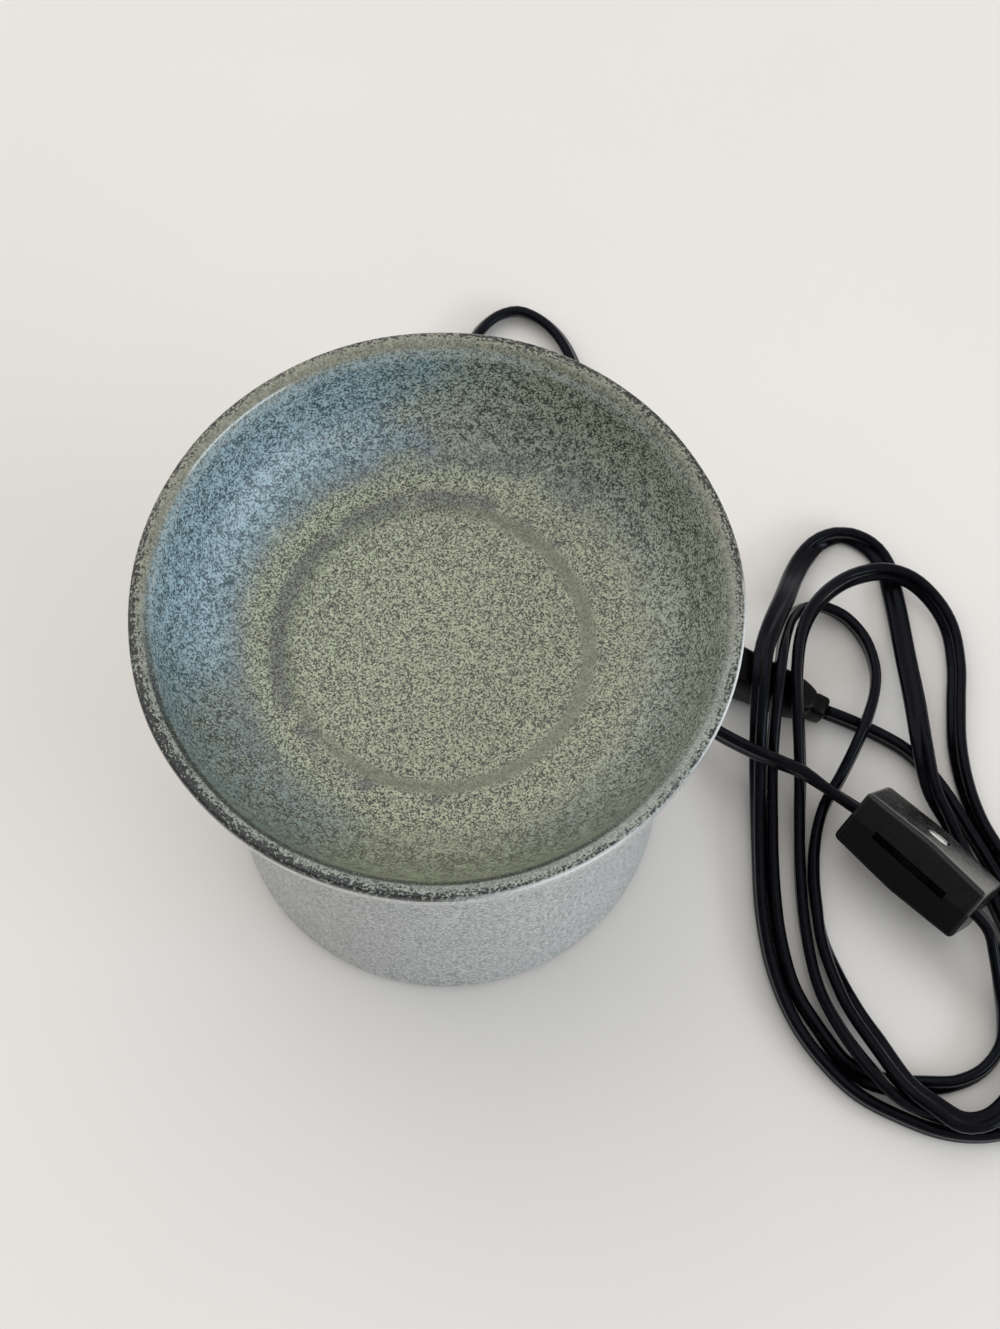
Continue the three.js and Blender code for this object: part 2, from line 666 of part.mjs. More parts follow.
function switchBack() {
  const half = switchHalf().rotateX(Math.PI);
  const boss = disc(hubRadius, -cavityHalf - switchWall / 2, -wheelRoom, 0, 20);
  const spindle = disc(spindleRadius, -cavityHalf, wheelThickness / 2, 0, 20);
  const end = switchLength / 2 - switchWall;
  const ribs = [-1, 1].map((side) => block(
    Math.min(side * rotorRadius * 1.3, side * end), Math.max(side * rotorRadius * 1.3, side * end),
    -contactWidth / 2, contactWidth / 2, -cavityHalf - switchWall / 2, contactBottom - seatGap,
  ));
  const nutHole = prism(
    polygon((switchNutAcross + 2 * slipGap) / Math.sqrt(3), 6, 0), [],
    -switchThickness, -switchThickness / 2 + switchNutHeight + seatGap,
  );
  return carve(fuse(half, [boss, spindle, ...ribs]), [screwHole(), nutHole]);
}

function switchWheel() {
  const rim = [];
  for (let tooth = 0; tooth < wheelTeeth; tooth += 1) {
    for (const [part, radius] of [[0, wheelRadius], [0.5, wheelRadius - toothDepth]]) {
      const angle = (2 * Math.PI * (tooth + part)) / wheelTeeth;
      rim.push(new THREE.Vector2(radius * Math.cos(angle), radius * Math.sin(angle)));
    }
  }
  return prism(rim, [polygon(spindleRadius + seatGap, 20, 0)], -wheelThickness / 2, wheelThickness / 2);
}

function rotorContact() {
  const top = -wheelThickness / 2 - seatGap;
  return disc(rotorRadius, top - rotorThickness, top, hubRadius + slipGap, 24);
}

function fixedContact(side) {
  const end = switchLength / 2 - switchWall - seatGap;
  const near = Math.min(side * contactReach, side * end);
  const far = Math.max(side * contactReach, side * end);
  return block(near, far, -contactWidth / 2, contactWidth / 2, contactBottom, contactTop);
}

function switchScrew() {
  const headBottom = switchThickness / 2 - screwHeadHeight;
  const corners = [
    [0, -switchThickness / 2 + seatGap], [screwRadius, -switchThickness / 2 + seatGap],
    [screwRadius, headBottom], [screwHeadRadius, headBottom],
    [screwHeadRadius, switchThickness / 2 - seatGap], [0, switchThickness / 2 - seatGap],
  ];
  const body = turned(corners.map(([r, z]) => new THREE.Vector2(r, z)), 24);
  const slotDepth = screwHeadHeight / 2;
  const slot = block(
    -screwHeadRadius * 2, screwHeadRadius * 2, -screwHeadRadius / 8, screwHeadRadius / 8,
    switchThickness / 2 - seatGap - slotDepth, switchThickness,
  );
  return carve(body, [slot]);
}

function switchNut() {
  const bottom = -switchThickness / 2;
  return hexNut(switchNutAcross, screwRadius + seatGap, bottom, bottom + switchNutHeight);
}

function inlineSwitch() {
  const group = new THREE.Group();
  const black = 0x17181a;
  const brass = 0xb08d4a;
  add(group, 'switch_front_shell', switchFront(), finish(0x2c2d2f, 0.75, 0));
  add(group, 'switch_back_shell', switchBack(), finish(black, 0.6, 0));
  add(group, 'switch_wheel', switchWheel(), finish(black, 0.5, 0));
  add(group, 'switch_rotor_contact', rotorContact(), finish(brass, 0.35, 1));
  add(group, 'switch_contact_in', fixedContact(-1), finish(brass, 0.35, 1));
  add(group, 'switch_contact_out', fixedContact(1), finish(brass, 0.35, 1));
  add(group, 'switch_screw', switchScrew(), finish(0xc4c6c8, 0.25, 1));
  add(group, 'switch_nut', switchNut(), finish(0xc4c6c8, 0.3, 1));
  group.position.copy(switchCentre);
  group.rotation.set(radians(switchRoll), radians(-switchPitch), radians(switchHeading), 'ZYX');
  group.updateMatrixWorld(true);
  return group;
}

// Plug, built with its tail at the origin and its blades along +X, standing on its narrow side
const plugTaper = (plugFrontHalfHeight - plugTailHalfHeight) / plugLength;

function plugRing(x, halfWidth, halfHeight) {
  const power = 2 / 4.5;
  const points = [];
  for (let i = 0; i < 20; i += 1) {
    const angle = (2 * Math.PI * (i + 0.5)) / 20;
    const y = halfWidth * Math.sign(Math.cos(angle)) * Math.abs(Math.cos(angle)) ** power;
    const z = halfHeight * Math.sign(Math.sin(angle)) * Math.abs(Math.sin(angle)) ** power;
    points.push([x, y, z]);
  }
  return points;
}

// A body through rings of equal counts, closed by a fan at each end
function lofted(rings) {
  const position = rings.flat(2);
  const sides = rings[0].length;
  const index = [];
  for (let ring = 0; ring < rings.length - 1; ring += 1) {
    for (let side = 0; side < sides; side += 1) {
      const a = ring * sides + side;
      const b = ring * sides + ((side + 1) % sides);
      index.push(a, b, a + sides, b, b + sides, a + sides);
    }
  }
  const last = rings.length - 1;
  for (const [ring, flip] of [[0, true], [last, false]]) {
    const middle = position.length / 3;
    position.push(rings[ring][0][0], 0, 0);
    for (let side = 0; side < sides; side += 1) {
      const a = ring * sides + side;
      const b = ring * sides + ((side + 1) % sides);
      if (flip) index.push(middle, b, a);
      else index.push(middle, a, b);
    }
  }
  const geometry = new THREE.BufferGeometry();
  geometry.setAttribute('position', new THREE.Float32BufferAttribute(position, 3));
  geometry.setIndex(index);
  return geometry;
}

function bladePocket(side, width) {
  const z = (side * bladePitch) / 2;
  const halfThick = bladeThickness / 2 + bladeGap;
  return block(
    plugLength - bladeSeat - bladeGap, plugLength + bladeSeat, -width / 2 - bladeGap, width / 2 + bladeGap,
    z - halfThick, z + halfThick,
  );
}

function plugBody() {
  const swell = plugHalfWidth - plugTailHalfWidth;
  const stations = [[0, 0], [0.09, 0.06], [0.2, 0.4], [0.3, 0.88], [0.42, 1], [0.93, 1], [1, 0.85]];
  const rings = stations.map(([share, width]) => {
    const x = share * plugLength;
    return plugRing(x, plugTailHalfWidth + width * swell, plugTailHalfHeight + x * plugTaper);
  });
  return carve(lofted(rings), [bladePocket(1, lineBladeWidth), bladePocket(-1, neutralBladeWidth)]);
}

function plugBlade(side, width) {
  const start = plugLength - bladeSeat;
  const tip = plugLength + bladeLength;
  const half = width / 2;
  const round = half / 2;
  const shape = new THREE.Path();
  shape.moveTo(start, -half);
  shape.lineTo(tip - round, -half);
  shape.quadraticCurveTo(tip, -half, tip, -half + round);
  shape.lineTo(tip, half - round);
  shape.quadraticCurveTo(tip, half, tip - round, half);
  shape.lineTo(start, half);
  const hole = polygon(bladeHoleRadius, 12, 0).map((p) => p.add(new THREE.Vector2(tip - bladeHoleFromTip, 0)));
  const z = (side * bladePitch) / 2;
  return prism(shape.getPoints(4), [hole], z - bladeThickness / 2, z + bladeThickness / 2);
}

function mainsPlug() {
  const group = new THREE.Group();
  add(group, 'plug_body', plugBody(), finish(0x131416, 0.55, 0));
  add(group, 'plug_blade_line', plugBlade(1, lineBladeWidth), finish(0xb9a56a, 0.3, 1));
  add(group, 'plug_blade_neutral', plugBlade(-1, neutralBladeWidth), finish(0xb9a56a, 0.3, 1));
  group.position.copy(plugTail);
  group.rotation.set(0, -Math.atan(plugTaper), radians(plugHeading), 'ZYX');
  group.updateMatrixWorld(true);
  return group;
}

const ceramicGrey = 0xa9aeab;
const steel = 0xb4b6b8;
const copperRed = 0x8c2f28;
const coreWhite = 0xd8d6cf;
const cordBlack = 0x121315;

add(warmer, 'wax_dish', waxDish(), finish(0x8b9482, 0.3, 0));
add(warmer, 'base_shell', baseShell(), finish(ceramicGrey, 0.6, 0));
add(warmer, 'bottom_plate', bottomPlate(), finish(0x2a2b2c, 0.7, 0));
for (let i = 0; i < footCount; i += 1) {
  const angle = (2 * Math.PI * (i + 0.5)) / footCount;
  const reach = bottomPlateRadius - footInset - footRadius;
  const foot = disc(footRadius, 0, footHeight, 0, 20);
  foot.translate(reach * Math.cos(angle), reach * Math.sin(angle), 0);
  add(warmer, `foot_${i + 1}`, foot, finish(0x3a3a3a, 0.9, 0));
}
add(warmer, 'hot_plate', hotPlate(), finish(0xc8cacb, 0.35, 1));
add(
  warmer, 'plate_gasket',
  disc(flangeRadius - gasketInset, gasketBottom, gasketBottom + gasketThickness, deckOpening + gasketInset, 40),
  finish(0x8e8a85, 0.8, 0),
);
add(warmer, 'heater_disc', disc(heaterRadius, heaterBottom, heaterTop, rodHole, 36), finish(0xc9c2b4, 0.7, 0));
add(warmer, 'mica_disc', disc(micaRadius, micaBottom, micaTop, rodHole, 36), finish(0xb39a6b, 0.4, 0));
add(
  warmer, 'pressure_plate',
  disc(pressurePlateRadius, pressureBottom, pressureTop, rodHole, 36), finish(steel, 0.4, 1),
);
add(warmer, 'bridge_bracket', bridgeBracket(), finish(steel, 0.4, 1));
add(warmer, 'tie_rod', tieRod(), finish(steel, 0.35, 1));
add(warmer, 'rod_washer', disc(washerRadius, washerTop - washerThickness, washerTop, rodHole, 24), finish(steel, 0.4, 1));
add(warmer, 'rod_nut_upper', hexNut(nutAcross, rodRadius + seatGap, upperNutBottom, upperNutTop), finish(steel, 0.35, 1));
add(
  warmer, 'rod_nut_lower',
  hexNut(nutAcross, rodRadius + seatGap, lowerNutBottom, lowerNutBottom + nutHeight), finish(steel, 0.35, 1),
);
add(warmer, 'thermal_fuse', thermalFuse(), finish(0xbfa98a, 0.4, 0.6));
add(warmer, 'fuse_clip', fuseClip(), finish(steel, 0.4, 1));
add(warmer, 'fuse_wire', fuseWire(), finish(coreWhite, 0.7, 0));
add(warmer, 'live_wire', liveWire(), finish(copperRed, 0.7, 0));
add(warmer, 'neutral_wire', neutralWire(), finish(coreWhite, 0.7, 0));
add(warmer, 'splice_live', splice(1), finish(0xa9842f, 0.5, 0));
add(warmer, 'splice_neutral', splice(-1), finish(0xa9842f, 0.5, 0));
add(warmer, 'core_live', cordCore(1), finish(cordBlack, 0.6, 0));
add(warmer, 'core_neutral', cordCore(-1), finish(cordBlack, 0.6, 0));
add(warmer, 'strain_relief', strainRelief(), finish(cordBlack, 0.6, 0));
add(warmer, 'relief_lock_ring', lockRing(), finish(cordBlack, 0.6, 0));

// Tail of the lead inside the base, from the strain relief up to its split cores
const tailStart = boreRadius - neckInside - seatGap;
add(warmer, 'cord_tail', flatCord([
  [0, tailStart, reliefHeight, 0], [0, tailStart - 4, reliefHeight, 0],
  [0, tailTopY + 6, reliefHeight + 0.3 * tailRise, 0], [0, tailTopY + 1, reliefHeight + 0.6 * tailRise, 0],
  [0, tailTopY, reliefHeight + tailRise, 0],
]), finish(cordBlack, 0.6, 0));

const switchGroup = inlineSwitch();
const plugGroup = mainsPlug();
warmer.add(switchGroup, plugGroup);

// Ends of the free lead: strain relief, both mouths of the switch, plug
const mouthReach = switchLength / 2 - mouthDepth;
const entry = switchGroup.localToWorld(new THREE.Vector3(-mouthReach, 0, 0)).toArray();
const leaving = switchGroup.localToWorld(new THREE.Vector3(mouthReach, 0, 0)).toArray();
const plugEnd = plugGroup.localToWorld(new THREE.Vector3(-seatGap, 0, 0)).toArray();
const reliefEnd = shellRadius + seatGap + reliefTailLength + seatGap;
const mouthTilt = switchRoll + 180;
const switchLead = [[0, reliefEnd, reliefHeight, 0], ...switchLeadPoints, [...entry, mouthTilt]];
const loops = [[...leaving, switchRoll], ...loopPoints, [...plugEnd, 90]];

add(warmer, 'cord_to_switch', flatCord(switchLead), finish(cordBlack, 0.5, 0));
add(warmer, 'cord_loops', flatCord(loops), finish(cordBlack, 0.5, 0));

const loopGap = leastGap(loops, 2.5);
const leadGap = leastGap(switchLead, 2.5);
console.log(`loops: ${loopGap.length.toFixed(0)} mm long, least gap ${loopGap.least.toFixed(2)} mm`);
console.log(`lead to the switch: ${leadGap.length.toFixed(0)} mm long`);

export default warmer;
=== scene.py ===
"""Electric wax warmer: the looks of the dish, base, lead, switch and plug, built around the CAD frame."""

import math

import bmesh
import bpy
from mathutils import Matrix, Vector


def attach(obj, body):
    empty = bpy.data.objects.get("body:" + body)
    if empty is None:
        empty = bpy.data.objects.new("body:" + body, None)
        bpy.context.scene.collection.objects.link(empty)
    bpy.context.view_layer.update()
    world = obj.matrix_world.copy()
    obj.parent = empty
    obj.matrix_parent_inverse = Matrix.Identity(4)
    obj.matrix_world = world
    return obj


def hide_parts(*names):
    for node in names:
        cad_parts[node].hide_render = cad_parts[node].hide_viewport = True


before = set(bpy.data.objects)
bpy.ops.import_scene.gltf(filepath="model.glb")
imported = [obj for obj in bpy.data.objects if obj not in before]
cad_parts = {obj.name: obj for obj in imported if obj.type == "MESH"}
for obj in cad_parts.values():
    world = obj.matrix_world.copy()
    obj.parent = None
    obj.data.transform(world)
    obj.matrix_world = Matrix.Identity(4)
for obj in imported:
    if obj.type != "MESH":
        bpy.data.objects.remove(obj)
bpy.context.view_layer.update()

MM = 0.001

# Camera, from the photograph's 1000 x 1329 frame
FRAME_HEIGHT_PX = 1329
FOCAL_PX = 2307
SENSOR_MM = 36
CAMERA_AT = (0.01394, -0.19999, 0.59439)
CAMERA_TILT = 21.63  # degrees from straight down

# Table in mm, and the room's light, dim around one direction
TABLE_HALF = 3000.0
ROOM_COLOR = (1.0, 0.980, 0.950)
ROOM_BRIGHT = 0.81
ROOM_DIM = 0.18
DIM_SIDE = (-0.62, -0.46, 0.42)
DIM_STARTS = 0.55  # cosine of the angle from the dim side
DIM_FULL = 0.95

# Stack of the base and dish, in mm as in the part
DECK_TOP = 92.6
SHELL_BOTTOM = 1.2
SHELL_RADIUS = 56.0
BORE_RADIUS = 51.5
REBATE_RADIUS = 53.2
REBATE_TOP = 4.6
DECK_UNDER = 87.6
DECK_OPENING = 34.4
PLATE_UNDER = 89.6
FLANGE_UNDER = 94.2
PLATE_TOP = 96.2
PLATE_RADIUS = 34.0
FLANGE_RADIUS = 39.5
DISH_UNDER = 96.5
DISH_FLOOR = 101.5
FOOT_RING_BOTTOM = 92.9
FOOT_RING_INNER = 42.5
FOOT_RING_OUTER = 47.5
RIM_TOP = 128.0
RIM_RADIUS = 68.0
LIP_WIDTH = 4.6
RING_RADIUS = 34.6
RING_WIDTH = 4.6
RING_STEP = 1.2

# Finer shape of the base and dish
TURN_STEPS = 144
PLATE_STEPS = 96
SMALL_STEPS = 40
WALL_DROP = 2.0  # from the rim's top to the widest point of the dish
LIP_CREST = 66.9  # radius of the rim's top
FLARE_RADIUS = 57.75  # pull of the outside just above the foot ring
FOOT_RING_ROUND = 1.0
DISH_FLOOR_ROWS = (26, 20, 14, 8, 3, 0)
BASE_ROUND = 2.2
BASE_ROUND_HEIGHT = 3.0
WALL_ROWS = range(10, 88, 7)
SHOULDER = 4.0
SHOULDER_PULL = 1.4
DECK_ROWS = (47, 42, 36)
DECK_CHAMFER = 0.8
PLATE_ROUND = 0.5

# Unevenness of the dish: size in mm, waves per turn, start of the wave
DISH_WAVES_OUT = ((0.22, 2, 0.6), (0.12, 5, 1.9), (0.05, 11, 0.0))
DISH_WAVES_UP = ((0.14, 3, 2.2), (0.08, 7, 0.4))

# Radii of the zones of glaze in the dish
GLAZE_FLOOR = 42.0
GLAZE_FOOT = 50.0
GLAZE_WALL = 54.0

# Feet
FOOT_REACH = 41.8
FOOT_RADIUS = 6.0
FOOT_HEIGHT = 2.0
FOOT_DRAFT = 0.4
FOOT_ROUND = 0.7

# Strain relief
RELIEF_HEIGHT = 13.6
RELIEF_FACE = 56.3
RELIEF_END = 80.3
RELIEF_COLLAR = 8.0
COLLAR_LENGTH = 2.6
COLLAR_ROUND = 0.8
RELIEF_NECK = 5.0
RELIEF_INSIDE = 46.5
RELIEF_ROOT = 5.7
RELIEF_TIP = 3.9
RIBS = 7
RIB_RADIUS = 5.6
RIB_TAPER = 1.35
RIB_DEPTH = 0.75
RIB_ROUND = 0.12
# One rib: share of the way along it, and drop below its crest
RIB_PROFILE = (
    (0.08, RIB_DEPTH), (0.30, RIB_DEPTH), (0.40, RIB_ROUND), (0.52, 0), (0.84, 0), (0.95, RIB_ROUND),
)

# Lead
CORD_WIDTH = 6.0
CORD_THICKNESS = 3.0
CORD_GROOVE = 0.5
CORD_GROOVE_HALF = 0.22
CORD_STEP = 2.2
CORD_END_GAP = 0.3
CORE_ARC = 220  # degrees of each core's round that show
CORE_STEPS = 10

# Inline switch
SWITCH_CENTRE = Vector((123.5, -25.0, 13.8))
SWITCH_HEADING = -45
SWITCH_PITCH = 2
SWITCH_ROLL = -56
SWITCH_LENGTH = 40.0
SWITCH_WIDTH = 20.0
SWITCH_THICKNESS = 17.5
SWITCH_END_THICKNESS = 15.5
SWITCH_WALL = 1.8
SWITCH_EDGE = 1.4
WELL_HALF = 7.2
CHANNEL_HALF = 3.2
POCKET_DEPTH = 1.2
SEAM = 0.02
SLOT_LENGTH = 24.0
SLOT_HALF = 1.05
SLOT_BACK = 1.2
WHEEL_RADIUS = 10.4
WHEEL_THICKNESS = 1.7
WHEEL_TEETH = 60
WHEEL_EDGE = 0.2
TOOTH_DEPTH = 0.3
# One tooth: share of the way along it, and drop below the wheel's radius
TOOTH_PROFILE = ((0.0, TOOTH_DEPTH), (0.22, 0.0), (0.62, 0.0))
SPINDLE_RADIUS = 2.7
SCREW_HEAD_RADIUS = 3.35
SCREW_HEAD_SIDE = 1.45
SCREW_HEAD_HEIGHT = 2.2
SCREW_EDGE = 0.08
SCREW_SHANK = 1.4
SCREW_SHORT = 0.3  # shank's end to the case's back
SCREW_TURN = 25
SCREW_SINK = 2.1
SCREW_RECESS = 3.75
DRIVER_HALF = 0.22
DRIVER_FLOOR = 1.1
DRIVER_REACH = 4.0
NUT_RADIUS = 3.64
NUT_SINK = 2.7
MOUTH_DEPTH = 2.0
MOUTH_SIDE_ROOM = 0.3
MOUTH_FLAT_ROOM = 0.25
CUT_BELOW = -1.0
CUT_PAST = 20.0

# Plug
PLUG_TAIL = Vector((102.5, 20.2, 4.15))
PLUG_HEADING = 158
PLUG_LENGTH = 30.0
PLUG_TAIL_HALF = 4.0
PLUG_FACE_HALF = 9.4
PLUG_TAPER = (PLUG_FACE_HALF - PLUG_TAIL_HALF) / PLUG_LENGTH
PLUG_WIDTH_HALF = 5.5
PLUG_TAIL_WIDTH_HALF = 3.2
PLUG_SIDES = 32
PLUG_SQUARENESS = 0.5
# Tail collar: distance from the tail, and how far it is drawn in
PLUG_COLLAR = (
    (0.0, 1.0), (0.12, 0.55), (0.4, 0.2), (0.9, 0.0), (2.6, 0.0), (3.6, 0.0), (4.0, 0.12), (4.3, 0.28),
)
# Body: share of the length, and share of the swell to the full width
PLUG_BODY = (
    (0.155, 0.10), (0.18, 0.28), (0.22, 0.52), (0.27, 0.74), (0.33, 0.90), (0.40, 0.98), (0.48, 1.0),
    (0.6, 1.0), (0.8, 1.0), (0.93, 1.0), (0.97, 0.97), (0.99, 0.90), (1.0, 0.84),
)
BLADE_SPREAD = 6.35  # from the plug's middle to each blade
BLADE_NARROW = 6.35
BLADE_WIDE = 7.9
BLADE_REACH = 17.0
BLADE_ROOT = 5.0
BLADE_HALF = 0.75
BLADE_CORNER = 1.6
BLADE_CORNER_CUT = 0.5
BLADE_EDGE = 0.22
BLADE_HOLE = 1.5
BLADE_HOLE_BACK = 4.0
HOLE_REACH = 3.0

# Lead from the base to the switch: x, y, z in mm and the tilt of its wide side from flat, as in the part
SWITCH_LEAD_POINTS = [
    (0, 88, 12.8, 0), (0.1, 96, 11.2, 8), (0.4, 105, 8.6, 26), (1.2, 115, 5.8, 52), (2.6, 125, 3.9, 84),
    (4.8, 133, 3.2, 108), (8.2, 139.6, 3.1, 115), (13, 144.2, 3.1, 115), (19.2, 146, 3.1, 115),
    (25.6, 143.2, 3.1, 115), (31, 137.6, 3.1, 115), (35, 129.5, 3.1, 115), (38.6, 115, 3.1, 108),
    (41.8, 98, 3.1, 100), (44.5, 80, 3.1, 90), (47, 62, 3.1, 90), (50.2, 45, 3.5, 90), (55, 32, 5, 90),
    (62, 21, 8.4, 90), (71, 11.6, 13.4, 90), (80, 4.6, 17.6, 90), (87, 1, 18.4, 90), (94, -1.6, 16.8, 95),
    (100, -5.2, 14.8, 108),
]

# Loops of lead from the switch to the plug, turn by turn, as in the part
LOOP_POINTS = [
    (140.9, -44, 13.4, -60), (142.2, -49.5, 10.8, -68), (143.4, -56.5, 7, -78), (144.4, -64, 4.3, -85),
    (143.2, -72, 3.3, -80), (138, -78.3, 3.1, -80), (130.9, -81.4, 3, -75), (123.1, -82, 2.8, -50),
    (115.3, -81.7, 2.3, -26), (108.5, -79.9, 2.6, -42), (102.5, -75.6, 3, -74),
    # up the left side and over the plug
    (96.8, -67.5, 3.1, -86), (90.9, -57, 3.1, -86), (87.7, -43.6, 3.1, -84), (86.5, -27.6, 3.5, -82),
    (86.5, -11.1, 5.4, -82), (86.8, 3.9, 9.8, -84), (87.5, 14.1, 15.2, -86), (88.5, 22.9, 18.2, -86),
    (89.8, 31.1, 18, -85), (91.4, 38.5, 14.2, -75),
    # the smallest turn, at the back
    (93.6, 45, 10, -65), (97, 49.3, 6.8, -65), (102.5, 51.4, 4.4, -70), (109.3, 48.9, 3.2, -80),
    (114.5, 42.4, 3.3, -85), (116.7, 33.5, 5.2, -85), (116, 25, 7.9, -85), (113.2, 16.2, 9.8, -85),
    (109.3, 7.6, 8.8, -85), (105.2, 0, 6.5, -85), (100.9, -7.2, 4.7, -86), (98.5, -15.1, 3.5, -88),
    (97.4, -25.1, 3.1, -90), (97.8, -35.4, 3.2, -86), (99, -44.6, 3.4, -70), (104.8, -60.4, 4.2, -34),
    (110.9, -71.5, 6.5, -28), (118.3, -83.4, 9.2, -40), (124.3, -88.2, 9.3, -34),
    (131.1, -92.4, 8.8, -18), (137.3, -91.9, 8.7, -18),
    # up the right side to the largest turn
    (142.8, -87.8, 8.2, -26), (147.2, -80.5, 6, -52), (150.3, -68, 3.6, -80), (150.3, -55, 3.1, -90),
    (147.9, -43, 3.1, -90), (143.6, -31, 3.1, -90), (138.1, -21, 3.6, -88), (133.8, -12, 5.8, -75),
    (129.5, -3.4, 8.2, -50), (127.5, 8.8, 9.4, -28), (126.7, 22.5, 7.2, -10), (125.6, 36.5, 4.4, 0),
    (124, 54.3, 2.1, 0), (122, 64.8, 1.9, -10), (117.8, 70.6, 2.6, -45), (110.5, 73.7, 3.1, -80),
    (104, 71.6, 3.3, -55), (99.1, 66.1, 4.4, -20), (95.5, 59.2, 7.4, -5), (92, 50.2, 13, 0),
    (87.7, 40.1, 17.8, 18), (84.9, 31.9, 19.6, 38), (83.6, 21.9, 19.2, 50), (83, 14, 16.8, 58),
    (82.8, 4.1, 11.4, 66), (82.8, -6.2, 7.2, 74), (82.8, -17.5, 4.4, 80), (83.2, -37.1, 3.1, 84),
    (85.7, -52.7, 3.1, 87), (90.7, -65.9, 3.1, 90), (97.9, -76.5, 3.1, 90), (106.2, -84.6, 3.1, 90),
    (116.5, -90.2, 3.1, 90), (126.5, -94, 3.1, 90), (135.3, -95.1, 3.1, 90), (143.6, -94, 3.1, 90),
    (150.4, -90.4, 3.1, 90), (155.4, -83.8, 3.1, 90), (158.2, -75, 3.1, 90), (158.6, -60, 3.1, 90),
    (156.6, -45, 3.1, 90), (152.6, -31.5, 3.1, 92), (147.7, -20.5, 3.1, 95),
    # the middle turn, over the other two at the back
    (143, -11.5, 3.1, 105), (139.8, -1.5, 3.1, 120), (138.3, 10.6, 3, 132), (138.9, 23.7, 3, 135),
    (139.7, 33.7, 3.1, 132), (138.5, 44.8, 3.9, 125), (134.7, 52.2, 5.2, 120), (128.2, 58.3, 6.7, 115),
    (120.6, 60.5, 7.5, 112), (113, 58.8, 8.4, 110), (106.8, 54.9, 10.4, 108), (100, 47.4, 13.6, 105),
    (95.9, 38.7, 15.2, 105), (94, 27, 15.6, 105), (93.9, 17.4, 14.4, 105), (94.3, 8.2, 11, 105),
    (94.5, 0.6, 7.9, 105), (94.2, -9.7, 5, 100), (93.8, -24.8, 3.2, 92), (94.5, -41.1, 3.2, 96),
    (97, -56.3, 4.4, 104), (101.4, -67.4, 6.8, 108), (108.1, -78.1, 8.5, 114), (116.7, -86.6, 6.6, 110),
    (128.1, -90.5, 3.3, 95), (137.9, -91.4, 3.1, 90), (146.2, -88.2, 3.1, 90), (151.4, -81.4, 3.1, 90),
    (154.2, -71, 3.1, 90), (154.6, -58, 3.1, 90), (152.2, -44, 3.1, 90), (148, -31, 3.1, 90),
    (143.2, -20.5, 3.1, 90),
    # across to the plug, under the turns
    (138.8, -12, 3.1, 90), (134.6, -4, 3.1, 90), (129.8, 3.3, 3.1, 90), (124.2, 9.3, 3.1, 90),
    (118.8, 12.9, 3.1, 90), (113.8, 15.6, 3.1, 90), (108.5, 17.9, 3.6, 90),
]


# Camera and light

def show(made):
    bpy.context.collection.objects.link(made)


def add_camera():
    data = bpy.data.cameras.new("camera")
    data.sensor_width = SENSOR_MM
    data.lens = FOCAL_PX / FRAME_HEIGHT_PX * SENSOR_MM
    camera = bpy.data.objects.new("camera", data)
    camera.location = CAMERA_AT
    camera.rotation_euler = (math.radians(CAMERA_TILT), 0, 0)
    show(camera)
    bpy.context.scene.camera = camera


def add_area(name, at, aim, size, power, color):
    data = bpy.data.lights.new(name, "AREA")
    data.shape = "RECTANGLE"
    data.size, data.size_y = size
    data.energy = power
    data.color = color
    lamp = bpy.data.objects.new(name, data)
    lamp.location = at
    lamp.rotation_euler = (Vector(aim) - Vector(at)).to_track_quat("-Z", "Y").to_euler()
    show(lamp)


def add_world():
    """Even room light that is dimmer around one direction."""
    world = bpy.data.worlds.new("room")
    world.use_nodes = True
    tree = world.node_tree
    background = tree.nodes["Background"]
    background.inputs["Color"].default_value = (*ROOM_COLOR, 1)
    where = tree.nodes.new("ShaderNodeTexCoord")
    share = tree.nodes.new("ShaderNodeVectorMath")
    share.operation = "DOT_PRODUCT"
    share.inputs[1].default_value = Vector(DIM_SIDE).normalized()
    fade = tree.nodes.new("ShaderNodeMapRange")
    fade.interpolation_type = "SMOOTHSTEP"
    span = {"From Min": DIM_STARTS, "From Max": DIM_FULL, "To Min": ROOM_BRIGHT, "To Max": ROOM_DIM}
    for key, value in span.items():
        fade.inputs[key].default_value = value
    tree.links.new(where.outputs["Generated"], share.inputs[0])
    tree.links.new(share.outputs["Value"], fade.inputs["Value"])
    tree.links.new(fade.outputs["Result"], background.inputs["Strength"])
    bpy.context.scene.world = world


def light_scene():
    add_world()
    add_area(
        "ceiling", at=(-0.90, 0.58, 1.7), aim=(0.0, 0.0, 0.05),
        size=(3.0, 3.0), power=20.0, color=(1.0, 0.98, 0.95),
    )
    add_area(
        "window", at=(1.24, -0.66, 0.64), aim=(0.0, 0.0, 0.10),
        size=(1.00, 0.36), power=7.0, color=(0.80, 0.90, 1.0),
    )
    bpy.context.scene.view_settings.view_transform = "Standard"


# Material nodes

